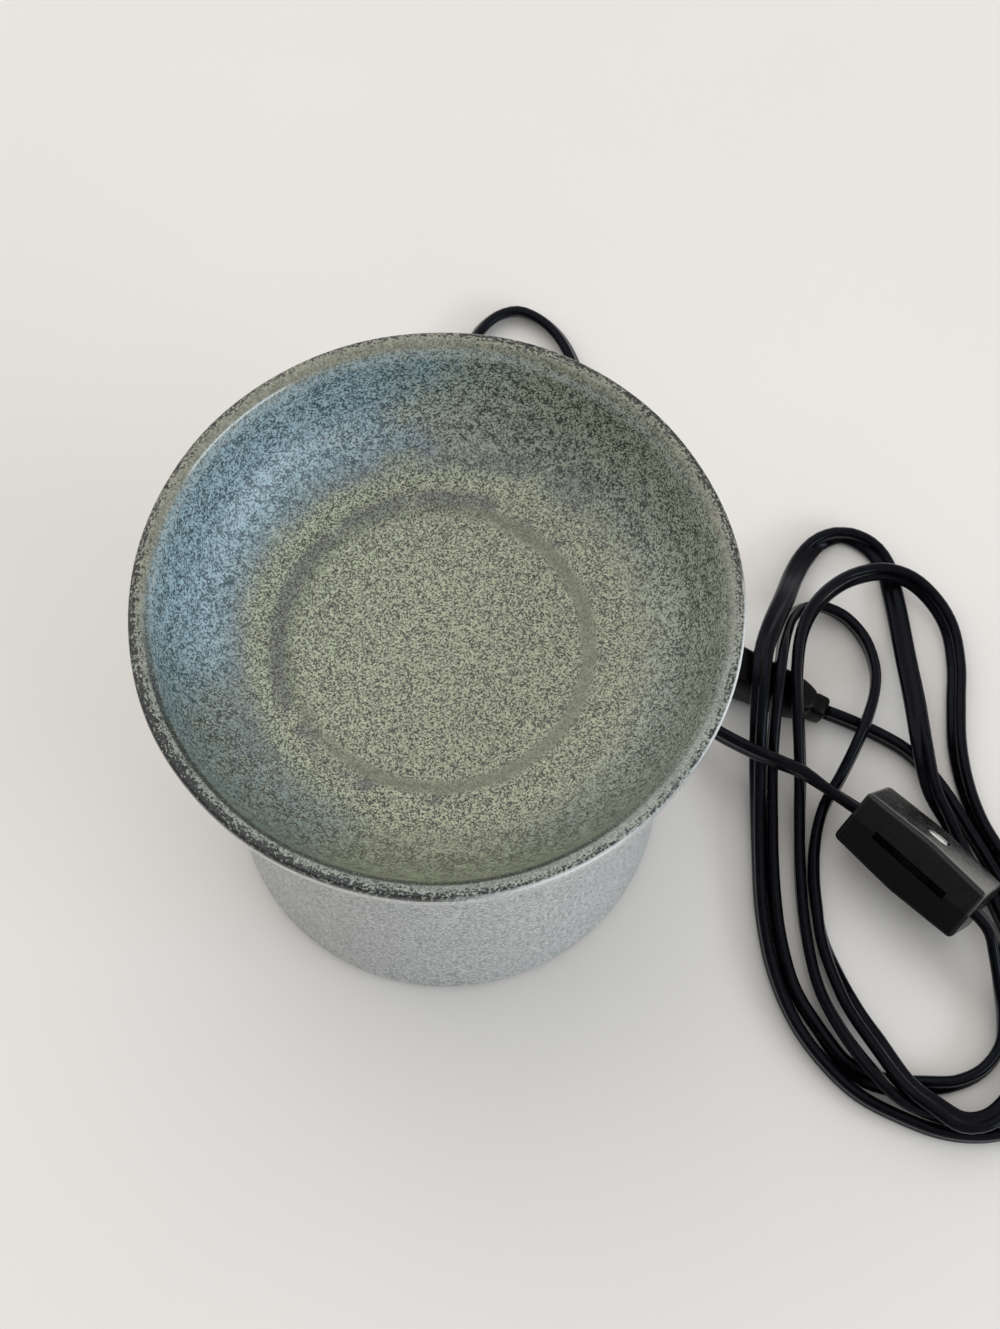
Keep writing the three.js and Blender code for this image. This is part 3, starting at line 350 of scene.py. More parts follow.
class Surface:
    """One procedural material, laid out in object coordinates."""

    def __init__(self, name, metallic=0.0):
        self.material = bpy.data.materials.new(name)
        self.material.use_nodes = True
        self.tree = self.material.node_tree
        self.shader = self.tree.nodes["Principled BSDF"]
        self.shader.inputs["Metallic"].default_value = metallic
        self.place = self.node("ShaderNodeTexCoord").outputs["Object"]

    def node(self, kind, **settings):
        made = self.tree.nodes.new(kind)
        for key, value in settings.items():
            setattr(made, key, value)
        return made

    def feed(self, socket, value):
        if isinstance(value, bpy.types.NodeSocket):
            self.tree.links.new(value, socket)
        elif hasattr(value, "__len__") and socket.type == "RGBA":
            socket.default_value = (*value, 1)
        else:
            socket.default_value = value

    def noise(self, scale, detail=2.0, rough=0.5, at=None):
        made = self.node("ShaderNodeTexNoise")
        self.feed(made.inputs["Vector"], self.place if at is None else at)
        made.inputs["Scale"].default_value = scale
        made.inputs["Detail"].default_value = detail
        made.inputs["Roughness"].default_value = rough
        return made.outputs["Fac"]

    def cells(self, scale):
        """Small crystals, each of one shade from 0 to 1."""
        made = self.node("ShaderNodeTexVoronoi")
        self.feed(made.inputs["Vector"], self.place)
        made.inputs["Scale"].default_value = scale
        split = self.node("ShaderNodeSeparateColor")
        self.feed(split.inputs[0], made.outputs["Color"])
        return split.outputs[0]

    def calc(self, operation, a, b=0.0):
        made = self.node("ShaderNodeMath", operation=operation)
        self.feed(made.inputs[0], a)
        self.feed(made.inputs[1], b)
        return made.outputs[0]

    def plus(self, a, b):
        return self.calc("ADD", a, b)

    def times(self, a, b):
        return self.calc("MULTIPLY", a, b)

    def levels(self, value, low, high, out_low=0.0, out_high=1.0):
        made = self.node("ShaderNodeMapRange", interpolation_type="SMOOTHSTEP")
        self.feed(made.inputs["Value"], value)
        made.inputs["From Min"].default_value = low
        made.inputs["From Max"].default_value = high
        made.inputs["To Min"].default_value = out_low
        made.inputs["To Max"].default_value = out_high
        return made.outputs["Result"]

    def band(self, value, middle, near, far):
        """1 close to a middle value, fading to 0 between two distances from it."""
        away = self.calc("ABSOLUTE", self.calc("SUBTRACT", value, middle))
        return self.levels(away, near, far, 1.0, 0.0)

    def blend(self, share, a, b):
        made = self.node("ShaderNodeMix", data_type="RGBA")
        self.feed(made.inputs["Factor"], share)
        self.feed(made.inputs[6], a)
        self.feed(made.inputs[7], b)
        return made.outputs[2]

    def parts(self):
        made = self.node("ShaderNodeSeparateXYZ")
        self.feed(made.inputs[0], self.place)
        return made.outputs

    def radius(self):
        x, y, _ = self.parts()
        return self.calc("SQRT", self.plus(self.times(x, x), self.times(y, y)))

    def toward(self, dx, dy):
        """Share of the way towards a direction on the table, from -1 to 1 around the axis."""
        x, y, _ = self.parts()
        reach = self.plus(self.times(x, dx), self.times(y, dy))
        return self.calc("DIVIDE", reach, self.calc("MAXIMUM", self.radius(), 0.001))

    def around(self, per_turn, per_metre):
        """Coordinates round and out from the axis, for streaks that run outwards."""
        x, y, _ = self.parts()
        made = self.node("ShaderNodeCombineXYZ")
        self.feed(made.inputs[0], self.times(self.calc("ARCTAN2", y, x), per_turn / (2 * math.pi)))
        self.feed(made.inputs[1], self.times(self.radius(), per_metre))
        return made.outputs[0]

    def facing(self):
        """0 face on, 1 edge on."""
        return self.node("ShaderNodeLayerWeight").outputs["Facing"]

    def color(self, value):
        self.feed(self.shader.inputs["Base Color"], value)

    def rough(self, value):
        self.feed(self.shader.inputs["Roughness"], value)

    def gloss(self, value):
        self.feed(self.shader.inputs["Specular IOR Level"], value)

    def bump(self, height, distance_mm, strength=1.0):
        made = self.node("ShaderNodeBump")
        made.inputs["Strength"].default_value = strength
        made.inputs["Distance"].default_value = distance_mm * MM
        self.feed(made.inputs["Height"], height)
        self.feed(self.shader.inputs["Normal"], made.outputs["Normal"])


class DishGlaze(Surface):
    """Reactive glaze: speckled sage floor, blue-grey on one side of the wall that is partly a painted
    reflection, tan lip, broken dark edge, with painted shade on some walls and a painted highlight at the
    rim.
    """

    DARK = (0.014, 0.015, 0.018)

    def __init__(self):
        super().__init__("dish_glaze")
        self.r = self.times(self.radius(), 1 / MM)
        self.z = self.times(self.parts()[2], 1 / MM)
        self.left = self.toward(-0.86, 0.51)
        self.front = self.toward(0.05, -1.0)
        self.mottle = self.noise(420, 4, 0.65)
        self.cloud = self.noise(85, 4, 0.62)
        self.wall = self.levels(self.r, GLAZE_FLOOR, GLAZE_WALL)
        self.grain = self.speckle()
        # Dark mottled glaze, also laid as painted shade on the walls that face away from the window
        self.pooled_glaze_and_shade = self.grained((0.016, 0.021, 0.019), (0.242, 0.280, 0.258))
        self.ground = self.grained((0.016, 0.020, 0.014), (0.440, 0.480, 0.340))

    def speckle(self):
        """Crystals, smaller on the floor than on the wall, in a fine noise."""
        small = self.times(self.cells(3300), self.levels(self.r, GLAZE_FLOOR, GLAZE_WALL, 0.55, 0.0))
        large = self.times(self.cells(2800), self.levels(self.r, GLAZE_FLOOR, GLAZE_WALL, 0.0, 0.55))
        fine = self.plus(self.plus(small, large), self.times(self.noise(1700, 3, 0.7), 0.45))
        drift = self.times(self.wall, self.calc("SUBTRACT", self.mottle, 0.5))
        return self.levels(self.plus(fine, self.times(drift, 0.9)), 0.28, 0.74)

    def grained(self, dark, light):
        return self.blend(self.grain, dark, light)

    def lay(self, share, color):
        """Covers the glaze laid so far with a share of another."""
        self.ground = self.blend(share, self.ground, color)


def lay_wall(s):
    """More olive up the wall than on the floor, and smoother there at the front."""
    olive = s.grained((0.034, 0.041, 0.033), (0.456, 0.502, 0.394))
    even = s.grained((0.078, 0.087, 0.060), (0.272, 0.296, 0.212))
    s.lay(s.wall, s.blend(s.levels(s.front, 0.55, 0.95, 0.0, 0.8), olive, even))


def lay_gathered(s):
    """Dark mottled glaze where the wall meets the floor, and a darker mottled band around the middle disc,
    most of it on the left.
    """
    foot = s.band(s.r, GLAZE_FOOT, 1.0, 9.0)
    foot = s.times(foot, s.levels(s.toward(-0.60, 0.80), -0.5, 0.5))
    s.lay(s.times(foot, s.levels(s.cloud, 0.38, 0.60, 0.25, 0.95)), s.pooled_glaze_and_shade)
    ring = s.band(s.r, RING_RADIUS + 2.6, 0.5, 4.0)
    patch = s.plus(s.noise(130, 3, 0.6), s.times(s.left, 0.18))
    ring_dark = s.grained((0.010, 0.012, 0.011), (0.158, 0.174, 0.156))
    s.lay(s.times(ring, s.levels(patch, 0.44, 0.62, 0.0, 0.9)), ring_dark)


def lay_blue(s):
    """Blue-grey on the left of the wall, more of it near the lip: partly a glaze hue, partly a painted
    reflection of the cool window light on the wall that faces it.
    """
    blue = s.grained((0.044, 0.082, 0.106), (0.362, 0.508, 0.592))
    blue_and_reflection_share = s.plus(s.left, s.times(s.calc("SUBTRACT", s.cloud, 0.5), 0.9))
    blue_and_reflection_share = s.plus(blue_and_reflection_share, s.levels(s.r, GLAZE_WALL, RIM_RADIUS - 6.0, 0.0, 0.16))
    # Painted reflection: the blue-grey on the left wall stands in partly for the cool window's reflection
    s.lay(s.times(s.wall, s.levels(blue_and_reflection_share, 0.36, 0.95)), blue)


def lay_mottle_and_painted_shade(s):
    """Darker mottling on the wall at the back right and the front right: partly dark glaze, partly painted
    shade on the walls that face away from the window.
    """
    sides = (((0.50, 0.87), 0.10, 0.90, 0.36), ((0.80, -0.60), 0.70, 0.98, 0.70))
    for direction, start, full, most in sides:
        side = s.times(s.wall, s.levels(s.toward(*direction), start, full))
        # Painted shade: dark glaze laid on the walls turned away from the window light
        s.lay(s.times(side, s.levels(s.mottle, 0.36, 0.62, 0.0, most)), s.pooled_glaze_and_shade)


def lay_teal_and_painted_shade(s):
    """Dark teal mottling down the wall at the front left: partly dark glaze, partly painted shade."""
    teal = s.grained((0.014, 0.020, 0.020), (0.225, 0.285, 0.280))
    run = s.levels(s.r, GLAZE_FOOT - 10.0, GLAZE_FOOT)
    run = s.times(run, s.levels(s.toward(-0.79, -0.61), 0.78, 0.98))
    # Painted shade: dark teal laid on the front-left wall
    s.lay(s.times(run, s.levels(s.mottle, 0.34, 0.60, 0.35, 0.95)), teal)


def lay_thin(s):
    """Thin smooth glaze on the slope of the disc, most of it on the right."""
    thin = s.grained((0.125, 0.136, 0.098), (0.225, 0.240, 0.168))
    slope = s.band(s.r, RING_RADIUS - 0.1, 1.0, 2.6)
    s.lay(s.times(slope, s.levels(s.left, -0.2, 0.7, 0.9, 0.2)), thin)


def lay_pale(s):
    """Pale break where the wall turns into the lip, away from the front and most of it on the left: partly
    glaze breaking over the edge, partly a painted highlight of the window along the inner edge.
    """
    pale = s.band(s.z, RIM_TOP - 2.8, 0.0, 2.0)
    pale = s.times(pale, s.levels(s.front, -0.2, 0.5, 0.80, 0.0))
    pale = s.times(pale, s.levels(s.left, -0.6, 0.2, 0.25, 1.0))
    broken = s.levels(s.noise(1500, 4, 0.7), 0.42, 0.60)
    # Painted highlight: pale glaze laid along the inner lip edge where the window's streak falls
    s.lay(s.times(pale, broken), (0.450, 0.500, 0.500))


def lay_lip(s):
    """Lip with fine streaks that run outwards, and a dark crease inside it at the front."""
    streak = s.noise(1.0, 4, 0.7, s.around(1500, 700))
    share = s.levels(streak, 0.36, 0.62)
    sage = s.blend(share, (0.320, 0.330, 0.255), (0.205, 0.209, 0.160))
    teal = s.blend(share, (0.340, 0.375, 0.325), (0.215, 0.248, 0.218))
    lip = s.blend(s.levels(s.front, -0.3, 0.6), sage, teal)
    lip = s.blend(s.levels(s.grain, 0.0, 1.0, 0.42, 0.0), lip, (0.045, 0.048, 0.042))
    s.lay(s.levels(s.z, RIM_TOP - 2.6, RIM_TOP - 0.4), lip)
    crease = s.band(s.z, RIM_TOP - 1.8, 0.4, 1.7)
    crease = s.times(crease, s.levels(s.r, RIM_RADIUS - 3.5, RIM_RADIUS - 3.0, 1.0, 0.0))
    crease = s.times(crease, s.levels(s.toward(-0.35, -0.94), 0.1, 0.8))
    s.lay(s.times(crease, s.levels(streak, 0.34, 0.50, 0.1, 0.95)), s.DARK)


def lay_edge(s):
    """Dark edge, broken finely, strongest at the front left, and duller than the rest."""
    diagonal = s.toward(0.71, 0.71)
    worn = s.noise(1.0, 4, 0.62, s.around(430, 1900))
    worn = s.plus(worn, s.times(s.times(diagonal, diagonal), 0.12))
    worn = s.plus(worn, s.levels(diagonal, 0.3, 1.0, 0.0, -0.06))
    worn = s.plus(worn, s.times(s.cloud, 0.24))
    worn = s.plus(worn, s.times(s.calc("SUBTRACT", s.grain, 0.5), -0.12))
    worn = s.plus(worn, s.levels(s.r, RIM_RADIUS - 3.0, RIM_RADIUS - 0.7, -0.13, 0.06))
    edge = s.levels(s.r, RIM_RADIUS - 3.8, RIM_RADIUS - 2.8)
    edge = s.times(edge, s.levels(worn, 0.61, 0.74, 0.0, 0.95))
    s.lay(edge, s.DARK)
    s.gloss(s.levels(edge, 0.0, 1.0, 0.7, 0.32))


def lay_painted_highlight(s):
    """Painted highlight: a pale roll on the outside of the lip at the front right, where the window's
    highlight falls.
    """
    rim_highlight = s.levels(s.r, RIM_RADIUS - 0.7, RIM_RADIUS - 0.1)
    rim_highlight = s.times(rim_highlight, s.levels(s.toward(0.77, -0.64), 0.62, 0.92))
    # Painted highlight of the window on the rim's outer roll
    s.lay(rim_highlight, (0.720, 0.750, 0.770))


def dish_glaze():
    s = DishGlaze()
    for step in (
        lay_wall, lay_gathered, lay_blue, lay_mottle_and_painted_shade, lay_teal_and_painted_shade, lay_thin, lay_pale, lay_lip, lay_edge, lay_painted_highlight,
    ):
        step(s)
    s.color(s.ground)
    satin = s.levels(s.r, RIM_RADIUS - 13.0, RIM_RADIUS - 5.0, 0.42, 0.12)
    s.rough(s.plus(satin, s.levels(s.noise(600, 2), 0.3, 0.7, -0.02, 0.04)))
    s.bump(s.plus(s.noise(1100, 3, 0.6), s.times(s.noise(160, 2), 0.8)), 0.05, 0.30)
    return s.material


def base_glaze():
    """Pale grey satin glaze with a fine grain, whiter and glossier under the dish's rim, where the white is
    partly thinner glaze and partly a painted reflection of the bright table.
    """
    s = Surface("base_glaze")
    height = s.times(s.parts()[2], 1 / MM)
    grain = s.levels(s.noise(1300, 4, 0.70), 0.40, 0.62)
    cloud = s.levels(s.noise(55, 3), 0.35, 0.65)
    light = s.blend(cloud, (0.585, 0.610, 0.612), (0.545, 0.570, 0.574))
    ground = s.blend(grain, light, (0.180, 0.198, 0.204))
    white = s.blend(grain, (0.720, 0.745, 0.760), (0.600, 0.630, 0.650))
    # Painted reflection: the white band under the rim stands in partly for the table reflected at the grazing
    # outer wall
    s.color(s.blend(s.levels(height, RIM_TOP - 3.0, RIM_TOP - 1.2), ground, white))
    satin = s.levels(height, RIM_TOP - 18.0, RIM_TOP - 8.0, 0.38, 0.10)
    s.rough(s.plus(satin, s.levels(s.noise(500, 2), 0.3, 0.7, 0.0, 0.06)))
    s.bump(s.plus(s.noise(900, 3, 0.6), s.times(s.noise(120, 2), 0.7)), 0.05, 0.3)
    return s.material


def cord_vinyl():
    """Black PVC with a soft cool sheen and faint drawing marks."""
    s = Surface("cord_vinyl")
    s.gloss(s.levels(s.facing(), 0.30, 0.88, 0.11, 0.80))
    s.shader.inputs["Specular Tint"].default_value = (0.70, 0.75, 1.0, 1)
    mark = s.noise(420, 3, 0.6)
    s.color(s.blend(s.levels(mark, 0.3, 0.7), (0.0016, 0.0017, 0.0022), (0.0034, 0.0036, 0.0044)))
    s.rough(s.levels(s.noise(260, 3), 0.3, 0.7, 0.14, 0.22))
    s.bump(s.noise(1500, 2), 0.02, 0.3)
    return s.material


def moulded_plastic(name, dark, light, roughness, grain_mm, flat, glance, index=1.5):
    """Moulded plastic with a spark-eroded grain; flat and glance are its gloss face on and edge on."""
    s = Surface(name)
    s.shader.inputs["IOR"].default_value = index
    s.gloss(s.levels(s.facing(), 0.22, 0.58, flat, glance))
    grain = s.noise(1 / (grain_mm * MM), 2, 0.6)
    s.color(s.blend(s.levels(grain, 0.35, 0.65), dark, light))
    s.rough(s.levels(s.noise(300, 2), 0.3, 0.7, roughness - 0.04, roughness + 0.04))
    s.bump(grain, 0.05, 0.8)
    return s.material


def shaded(color, share):
    return tuple(share * c for c in color)


def plain_metal(name, color, roughness):
    """Metal with faint handling marks."""
    s = Surface(name, metallic=1.0)
    worn = s.levels(s.noise(260, 4, 0.6), 0.35, 0.68)
    s.color(s.blend(worn, color, shaded(color, 0.8)))
    s.rough(s.levels(s.noise(520, 3), 0.3, 0.7, roughness - 0.06, roughness + 0.12))
    s.bump(s.noise(900, 2), 0.02, 0.4)
    return s.material


def turned_metal(name, color, roughness):
    """Metal faced on a lathe, with fine rings round the axis."""
    s = Surface(name, metallic=1.0)
    rings = s.noise(1.0, 2, 0.6, s.around(3, 3200))
    s.color(s.blend(s.levels(rings, 0.35, 0.65), color, shaded(color, 0.78)))
    s.rough(s.levels(rings, 0.3, 0.7, roughness - 0.05, roughness + 0.12))
    s.bump(rings, 0.03, 0.5)
    return s.material


def soft_compound(name, color, roughness):
    """Rubber, sleeving or board with a dull mottled face."""
    s = Surface(name)
    s.color(s.blend(s.levels(s.noise(380, 3, 0.6), 0.35, 0.65), color, shaded(color, 0.72)))
    s.rough(s.levels(s.noise(300, 2), 0.3, 0.7, roughness - 0.08, roughness + 0.08))
    s.bump(s.noise(1300, 2), 0.05, 0.6)
    return s.material


def table_paint():
    """Pale painted table."""
    s = Surface("table_paint")
    s.gloss(0.25)
    s.rough(0.55)
    s.color(s.blend(s.levels(s.noise(5, 3), 0.3, 0.7), (0.815, 0.796, 0.772), (0.795, 0.778, 0.758)))
    s.bump(s.noise(700, 2), 0.02, 0.15)
    return s.material


# Mesh helpers, in mm

def piece(name, points, faces, material, smooth=True):
    mesh = bpy.data.meshes.new(name)
    mesh.from_pydata([Vector(p) * MM for p in points], [], faces)
    mesh.materials.append(material)
    if smooth:
        mesh.shade_smooth()
    made = bpy.data.objects.new(name, mesh)
    show(made)
    return made


def stands_for(made, body, node):
    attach(made, body)
    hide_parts(node)
    return made


def ramp(value, low, high):
    return min(1.0, max(0.0, (value - low) / (high - low)))


def curve(p0, p1, p2, p3, steps):
    """Points along a cubic, without its first."""
    found = []
    for i in range(1, steps + 1):
        t = i / steps
        u = 1 - t
        weights = (u ** 3, 3 * u * u * t, 3 * u * t * t, t ** 3)
        found.append(tuple(sum(w * c for w, c in zip(weights, part)) for part in zip(p0, p1, p2, p3)))
    return found


def rounded(points, radius, steps):
    """The open outline with each inner corner rounded, over less than half of either side."""
    found = [points[0]]
    for before, corner, after in zip(points, points[1:], points[2:]):
        corner = Vector(corner)
        back = Vector(before) - corner
        on = Vector(after) - corner
        reach = min(radius, 0.45 * back.length, 0.45 * on.length)
        start = corner + back.normalized() * reach
        end = corner + on.normalized() * reach
        found.append(tuple(start))
        found += curve(start, start.lerp(corner, 0.6), end.lerp(corner, 0.6), end, steps)
    return found + [points[-1]]


def turned(name, outline, segments, material, wobble=None):
    """A piece turned about Z; an outline off the axis is closed on itself."""
    ring = outline[0][0] > 1e-6
    points, faces, rows = [], [], []
    for r, z in outline:
        if r < 1e-6:
            rows.append([len(points)] * segments)
            points.append((0, 0, z))
            continue
        rows.append(list(range(len(points), len(points) + segments)))
        for i in range(segments):
            angle = 2 * math.pi * i / segments
            dr, dz = wobble(angle, r, z) if wobble else (0, 0)
            points.append(((r + dr) * math.cos(angle), (r + dr) * math.sin(angle), z + dz))
    pairs = list(zip(rows, rows[1:])) + ([(rows[-1], rows[0])] if ring else [])
    for low, high in pairs:
        for i in range(segments):
            j = (i + 1) % segments
            corners = [low[i], low[j], high[j], high[i]]
            faces.append(tuple(dict.fromkeys(corners)))
    return piece(name, points, faces, material)


def evaluated(made):
    """Bakes the piece's modifiers into its mesh."""
    graph = bpy.context.evaluated_depsgraph_get()
    mesh = bpy.data.meshes.new_from_object(made.evaluated_get(graph))
    made.modifiers.clear()
    made.data = mesh


def cut(made, *cutters):
    for cutter in cutters:
        step = made.modifiers.new("cut", "BOOLEAN")
        step.operation = "DIFFERENCE"
        step.solver = "EXACT"
        step.material_mode = "TRANSFER"
        step.object = cutter
        evaluated(made)
        bpy.data.objects.remove(cutter)


def soften(made, width_mm):
    step = made.modifiers.new("soften", "BEVEL")
    step.width = width_mm * MM
    step.segments = 2
    step.limit_method = "ANGLE"
    step.angle_limit = math.radians(30)
    step.harden_normals = True
    evaluated(made)


def round_outer_edges(made, above_mm, radius_mm):
    """Rounds the edges that reach above a height, and leaves the flat below it sharp."""
    shape = bmesh.new()
    shape.from_mesh(made.data)
    outer = [e for e in shape.edges if max(v.co.z for v in e.verts) > above_mm * MM]
    bmesh.ops.bevel(shape, geom=outer, offset=radius_mm * MM, segments=4, profile=0.5, affect="EDGES")
    shape.to_mesh(made.data)
    shape.free()


def even_shading(made):
    """Smooth shading that keeps large flats flat and edges crisp."""
    made.data.shade_smooth()
    made.data.set_sharp_from_angle(angle=math.radians(35))
    step = made.modifiers.new("even", "WEIGHTED_NORMAL")
    step.keep_sharp = True
    evaluated(made)


def prism(name, outline, low, high, axis, material):
    """A flat outline pushed along Y or Z, in mm."""
    def at(p, depth):
        return (p[0], depth, p[1]) if axis == "Y" else (p[0], p[1], depth)
    n = len(outline)
    points = [at(p, low) for p in outline] + [at(p, high) for p in outline]
    faces = [tuple(range(n)), tuple(range(2 * n - 1, n - 1, -1))]
    faces += [(i, i + n, (i + 1) % n + n, (i + 1) % n) for i in range(n)]
    made = piece(name, points, faces, material, smooth=False)
    shape = bmesh.new()
    shape.from_mesh(made.data)
    bmesh.ops.recalc_face_normals(shape, faces=shape.faces)
    shape.to_mesh(made.data)
    shape.free()
    return made


def bar(name, x0, x1, y0, y1, z0, z1, material):
    return prism(name, [(x0, y0), (x1, y0), (x1, y1), (x0, y1)], z0, z1, "Z", material)


def circle(radius, count, middle_x=0.0):
    turns = [2 * math.pi * i / count for i in range(count)]
    return [(middle_x + radius * math.cos(t), radius * math.sin(t)) for t in turns]


def placed(made, matrix):
    """Moves the piece's points by a matrix given in mm."""
    made.data.transform(Matrix.Scale(MM, 4) @ matrix @ Matrix.Scale(1 / MM, 4))
    made.data.update()
    return made


# Flat lead

def cord_section():
    """Two round cores side by side, with a groove between them on each face."""
    core = CORD_THICKNESS / 2
    offset = CORD_WIDTH / 2 - core
    points = []
    for side in (1, -1):
        first = -CORE_ARC / 2 + (0 if side > 0 else 180)
        for i in range(CORE_STEPS + 1):
            turn = math.radians(first + CORE_ARC * i / CORE_STEPS)
            points.append((side * offset + core * math.cos(turn), core * math.sin(turn)))
        for x in (CORD_GROOVE_HALF, -CORD_GROOVE_HALF):
            points.append((x * side, side * (core - CORD_GROOVE)))
    return points


def cord_path(route):
    """Close points on a centripetal curve through the route: place, direction and tilt."""
    spots = [Vector(p[:3]) for p in route]
    spots = [spots[0] * 2 - spots[1]] + spots + [spots[-1] * 2 - spots[-2]]
    found = []
    for i in range(len(route) - 1):
        p0, p1, p2, p3 = spots[i:i + 4]
        d0, d1, d2 = (math.sqrt((b - a).length) for a, b in ((p0, p1), (p1, p2), (p2, p3)))
        t1 = ((p1 - p0) / d0 - (p2 - p0) / (d0 + d1) + (p2 - p1) / d1) * d1
        t2 = ((p2 - p1) / d1 - (p3 - p1) / (d1 + d2) + (p3 - p2) / d2) * d1
        c2 = 3 * (p2 - p1) - 2 * t1 - t2
        c3 = 2 * (p1 - p2) + t1 + t2
        last = i == len(route) - 2
        steps = max(2, round((p2 - p1).length / CORD_STEP))
        for k in range(steps + (1 if last else 0)):
            t = k / steps
            place = p1 + t1 * t + c2 * t ** 2 + c3 * t ** 3
            along = (t1 + 2 * t * c2 + 3 * t * t * c3).normalized()
            tilt = route[i][3] + (route[i + 1][3] - route[i][3]) * t
            found.append((place, along, math.radians(tilt)))
    return found


def flat_cord(name, route, material):
    """The lead along a route, and the middle of it in metres."""
    section = cord_section()
    n = len(section)
    path = cord_path(route)
    points, faces = [], []
    for place, along, tilt in path:
        left = Vector((-along.y, along.x, 0)).normalized()
        up = along.cross(left)
        wide = left * math.cos(tilt) + up * math.sin(tilt)
        thin = along.cross(wide)
        points += [place + wide * w + thin * t for w, t in section]
    for ring in range(len(path) - 1):
        for i in range(n):
            a, b = ring * n + i, ring * n + (i + 1) % n
            faces.append((a, b, b + n, a + n))
    faces.append(tuple(range(n - 1, -1, -1)))
    faces.append(tuple(range(len(points) - n, len(points))))
    made = piece(name, points, faces, material)
    return made, [place * MM for place, _, _ in path]


def switch_matrix():
    turn = Matrix.Rotation(math.radians(SWITCH_HEADING), 4, "Z")
    turn = turn @ Matrix.Rotation(math.radians(-SWITCH_PITCH), 4, "Y")
    turn = turn @ Matrix.Rotation(math.radians(SWITCH_ROLL), 4, "X")
    return Matrix.Translation(SWITCH_CENTRE) @ turn


def plug_matrix():
    turn = Matrix.Rotation(math.radians(PLUG_HEADING), 4, "Z")
    return Matrix.Translation(PLUG_TAIL) @ turn @ Matrix.Rotation(-math.atan(PLUG_TAPER), 4, "Y")


# Dish and base

def dish_outline():
    """Underside, outside, and the rest from the lip to the middle of the floor."""
    lip_in = RIM_RADIUS - LIP_WIDTH
    wall_top = RIM_TOP - WALL_DROP
    depth = RIM_TOP - DISH_FLOOR
    ledge = DISH_FLOOR + RING_STEP
    widest = (RIM_RADIUS, wall_top)
    crest = (LIP_CREST, RIM_TOP)
    under = rounded([
        (0, DISH_UNDER), (FOOT_RING_INNER, DISH_UNDER), (FOOT_RING_INNER, FOOT_RING_BOTTOM),
        (FOOT_RING_OUTER, FOOT_RING_BOTTOM), (FOOT_RING_OUTER, DISH_UNDER),
    ], FOOT_RING_ROUND, 4)
    outside = curve(
        under[-1], (FLARE_RADIUS, DISH_UNDER + 1.5),
        (RIM_RADIUS - 0.9, DISH_UNDER + 0.5 * (wall_top - DISH_UNDER)), widest, 22,
    )
    lip = curve(widest, (RIM_RADIUS, RIM_TOP - 0.6), (RIM_RADIUS - 0.2, RIM_TOP), crest, 8)
    lip += curve(
        crest, (LIP_CREST - 1.7, RIM_TOP), (lip_in + 0.5, RIM_TOP - 1.1), (lip_in - 0.5, wall_top - 1.8), 14,
    )
    inside = curve(
        lip[-1], (lip_in - 3.5, wall_top - 0.5 * depth), (lip_in - 10, ledge + 0.6),
        (RING_RADIUS + RING_WIDTH / 2, ledge), 32,
    )
    step = curve(
        inside[-1], (RING_RADIUS + 0.2, ledge - 0.1), (RING_RADIUS - 0.2, DISH_FLOOR),
        (RING_RADIUS - RING_WIDTH / 2, DISH_FLOOR), 12,
    )
    floor = [(r, DISH_FLOOR) for r in DISH_FLOOR_ROWS]
    return under, outside, lip + inside + step + floor


def waves(table, angle):
    return sum(size * math.sin(count * angle + start) for size, count, start in table)


def dish_wobble(angle, r, z):
    """Small unevenness of a hand-finished pot."""
    share = ramp(r, 45, 65)
    return share * waves(DISH_WAVES_OUT, angle), share * waves(DISH_WAVES_UP, angle)


def base_wobble(angle, r, z):
    """Slight swell of the base's wall."""
    share = ramp(r, SHELL_RADIUS - 2.5, SHELL_RADIUS - 0.5)
    return share * (0.10 * math.sin(2 * angle + 0.09 * z) + 0.05 * math.sin(0.55 * z)), 0


def make_dish(inner, outer):
    under, outside, rest = dish_outline()
    made = turned("dish_glazed", under + outside + rest, TURN_STEPS, inner, dish_wobble)
    made.data.materials.append(outer)
    plain_rows = len(under) + len(outside) - 1
    for polygon in made.data.polygons[:plain_rows * TURN_STEPS]:
        polygon.material_index = 1
    stands_for(made, "dish", "wax_dish")


def make_base(material):
    outline = [(REBATE_RADIUS, SHELL_BOTTOM), (SHELL_RADIUS - BASE_ROUND, SHELL_BOTTOM)]
    outline += curve(
        outline[-1], (SHELL_RADIUS - 0.6, SHELL_BOTTOM), (SHELL_RADIUS, SHELL_BOTTOM + 0.9),
        (SHELL_RADIUS, SHELL_BOTTOM + BASE_ROUND_HEIGHT), 6,
    )
    outline += [(SHELL_RADIUS, z) for z in WALL_ROWS]
    outline += curve(
        (SHELL_RADIUS, DECK_TOP - SHOULDER), (SHELL_RADIUS, DECK_TOP - SHOULDER_PULL),
        (SHELL_RADIUS - SHOULDER_PULL, DECK_TOP), (SHELL_RADIUS - SHOULDER, DECK_TOP), 7,
    )
    outline += [(r, DECK_TOP) for r in DECK_ROWS]
    outline += [
        (DECK_OPENING, DECK_TOP - DECK_CHAMFER), (DECK_OPENING, DECK_UNDER), (BORE_RADIUS, DECK_UNDER),
        (BORE_RADIUS, REBATE_TOP), (REBATE_RADIUS, REBATE_TOP),
    ]
    made = turned("base_glazed", outline, TURN_STEPS, material, base_wobble)
    stands_for(made, "base", "base_shell")


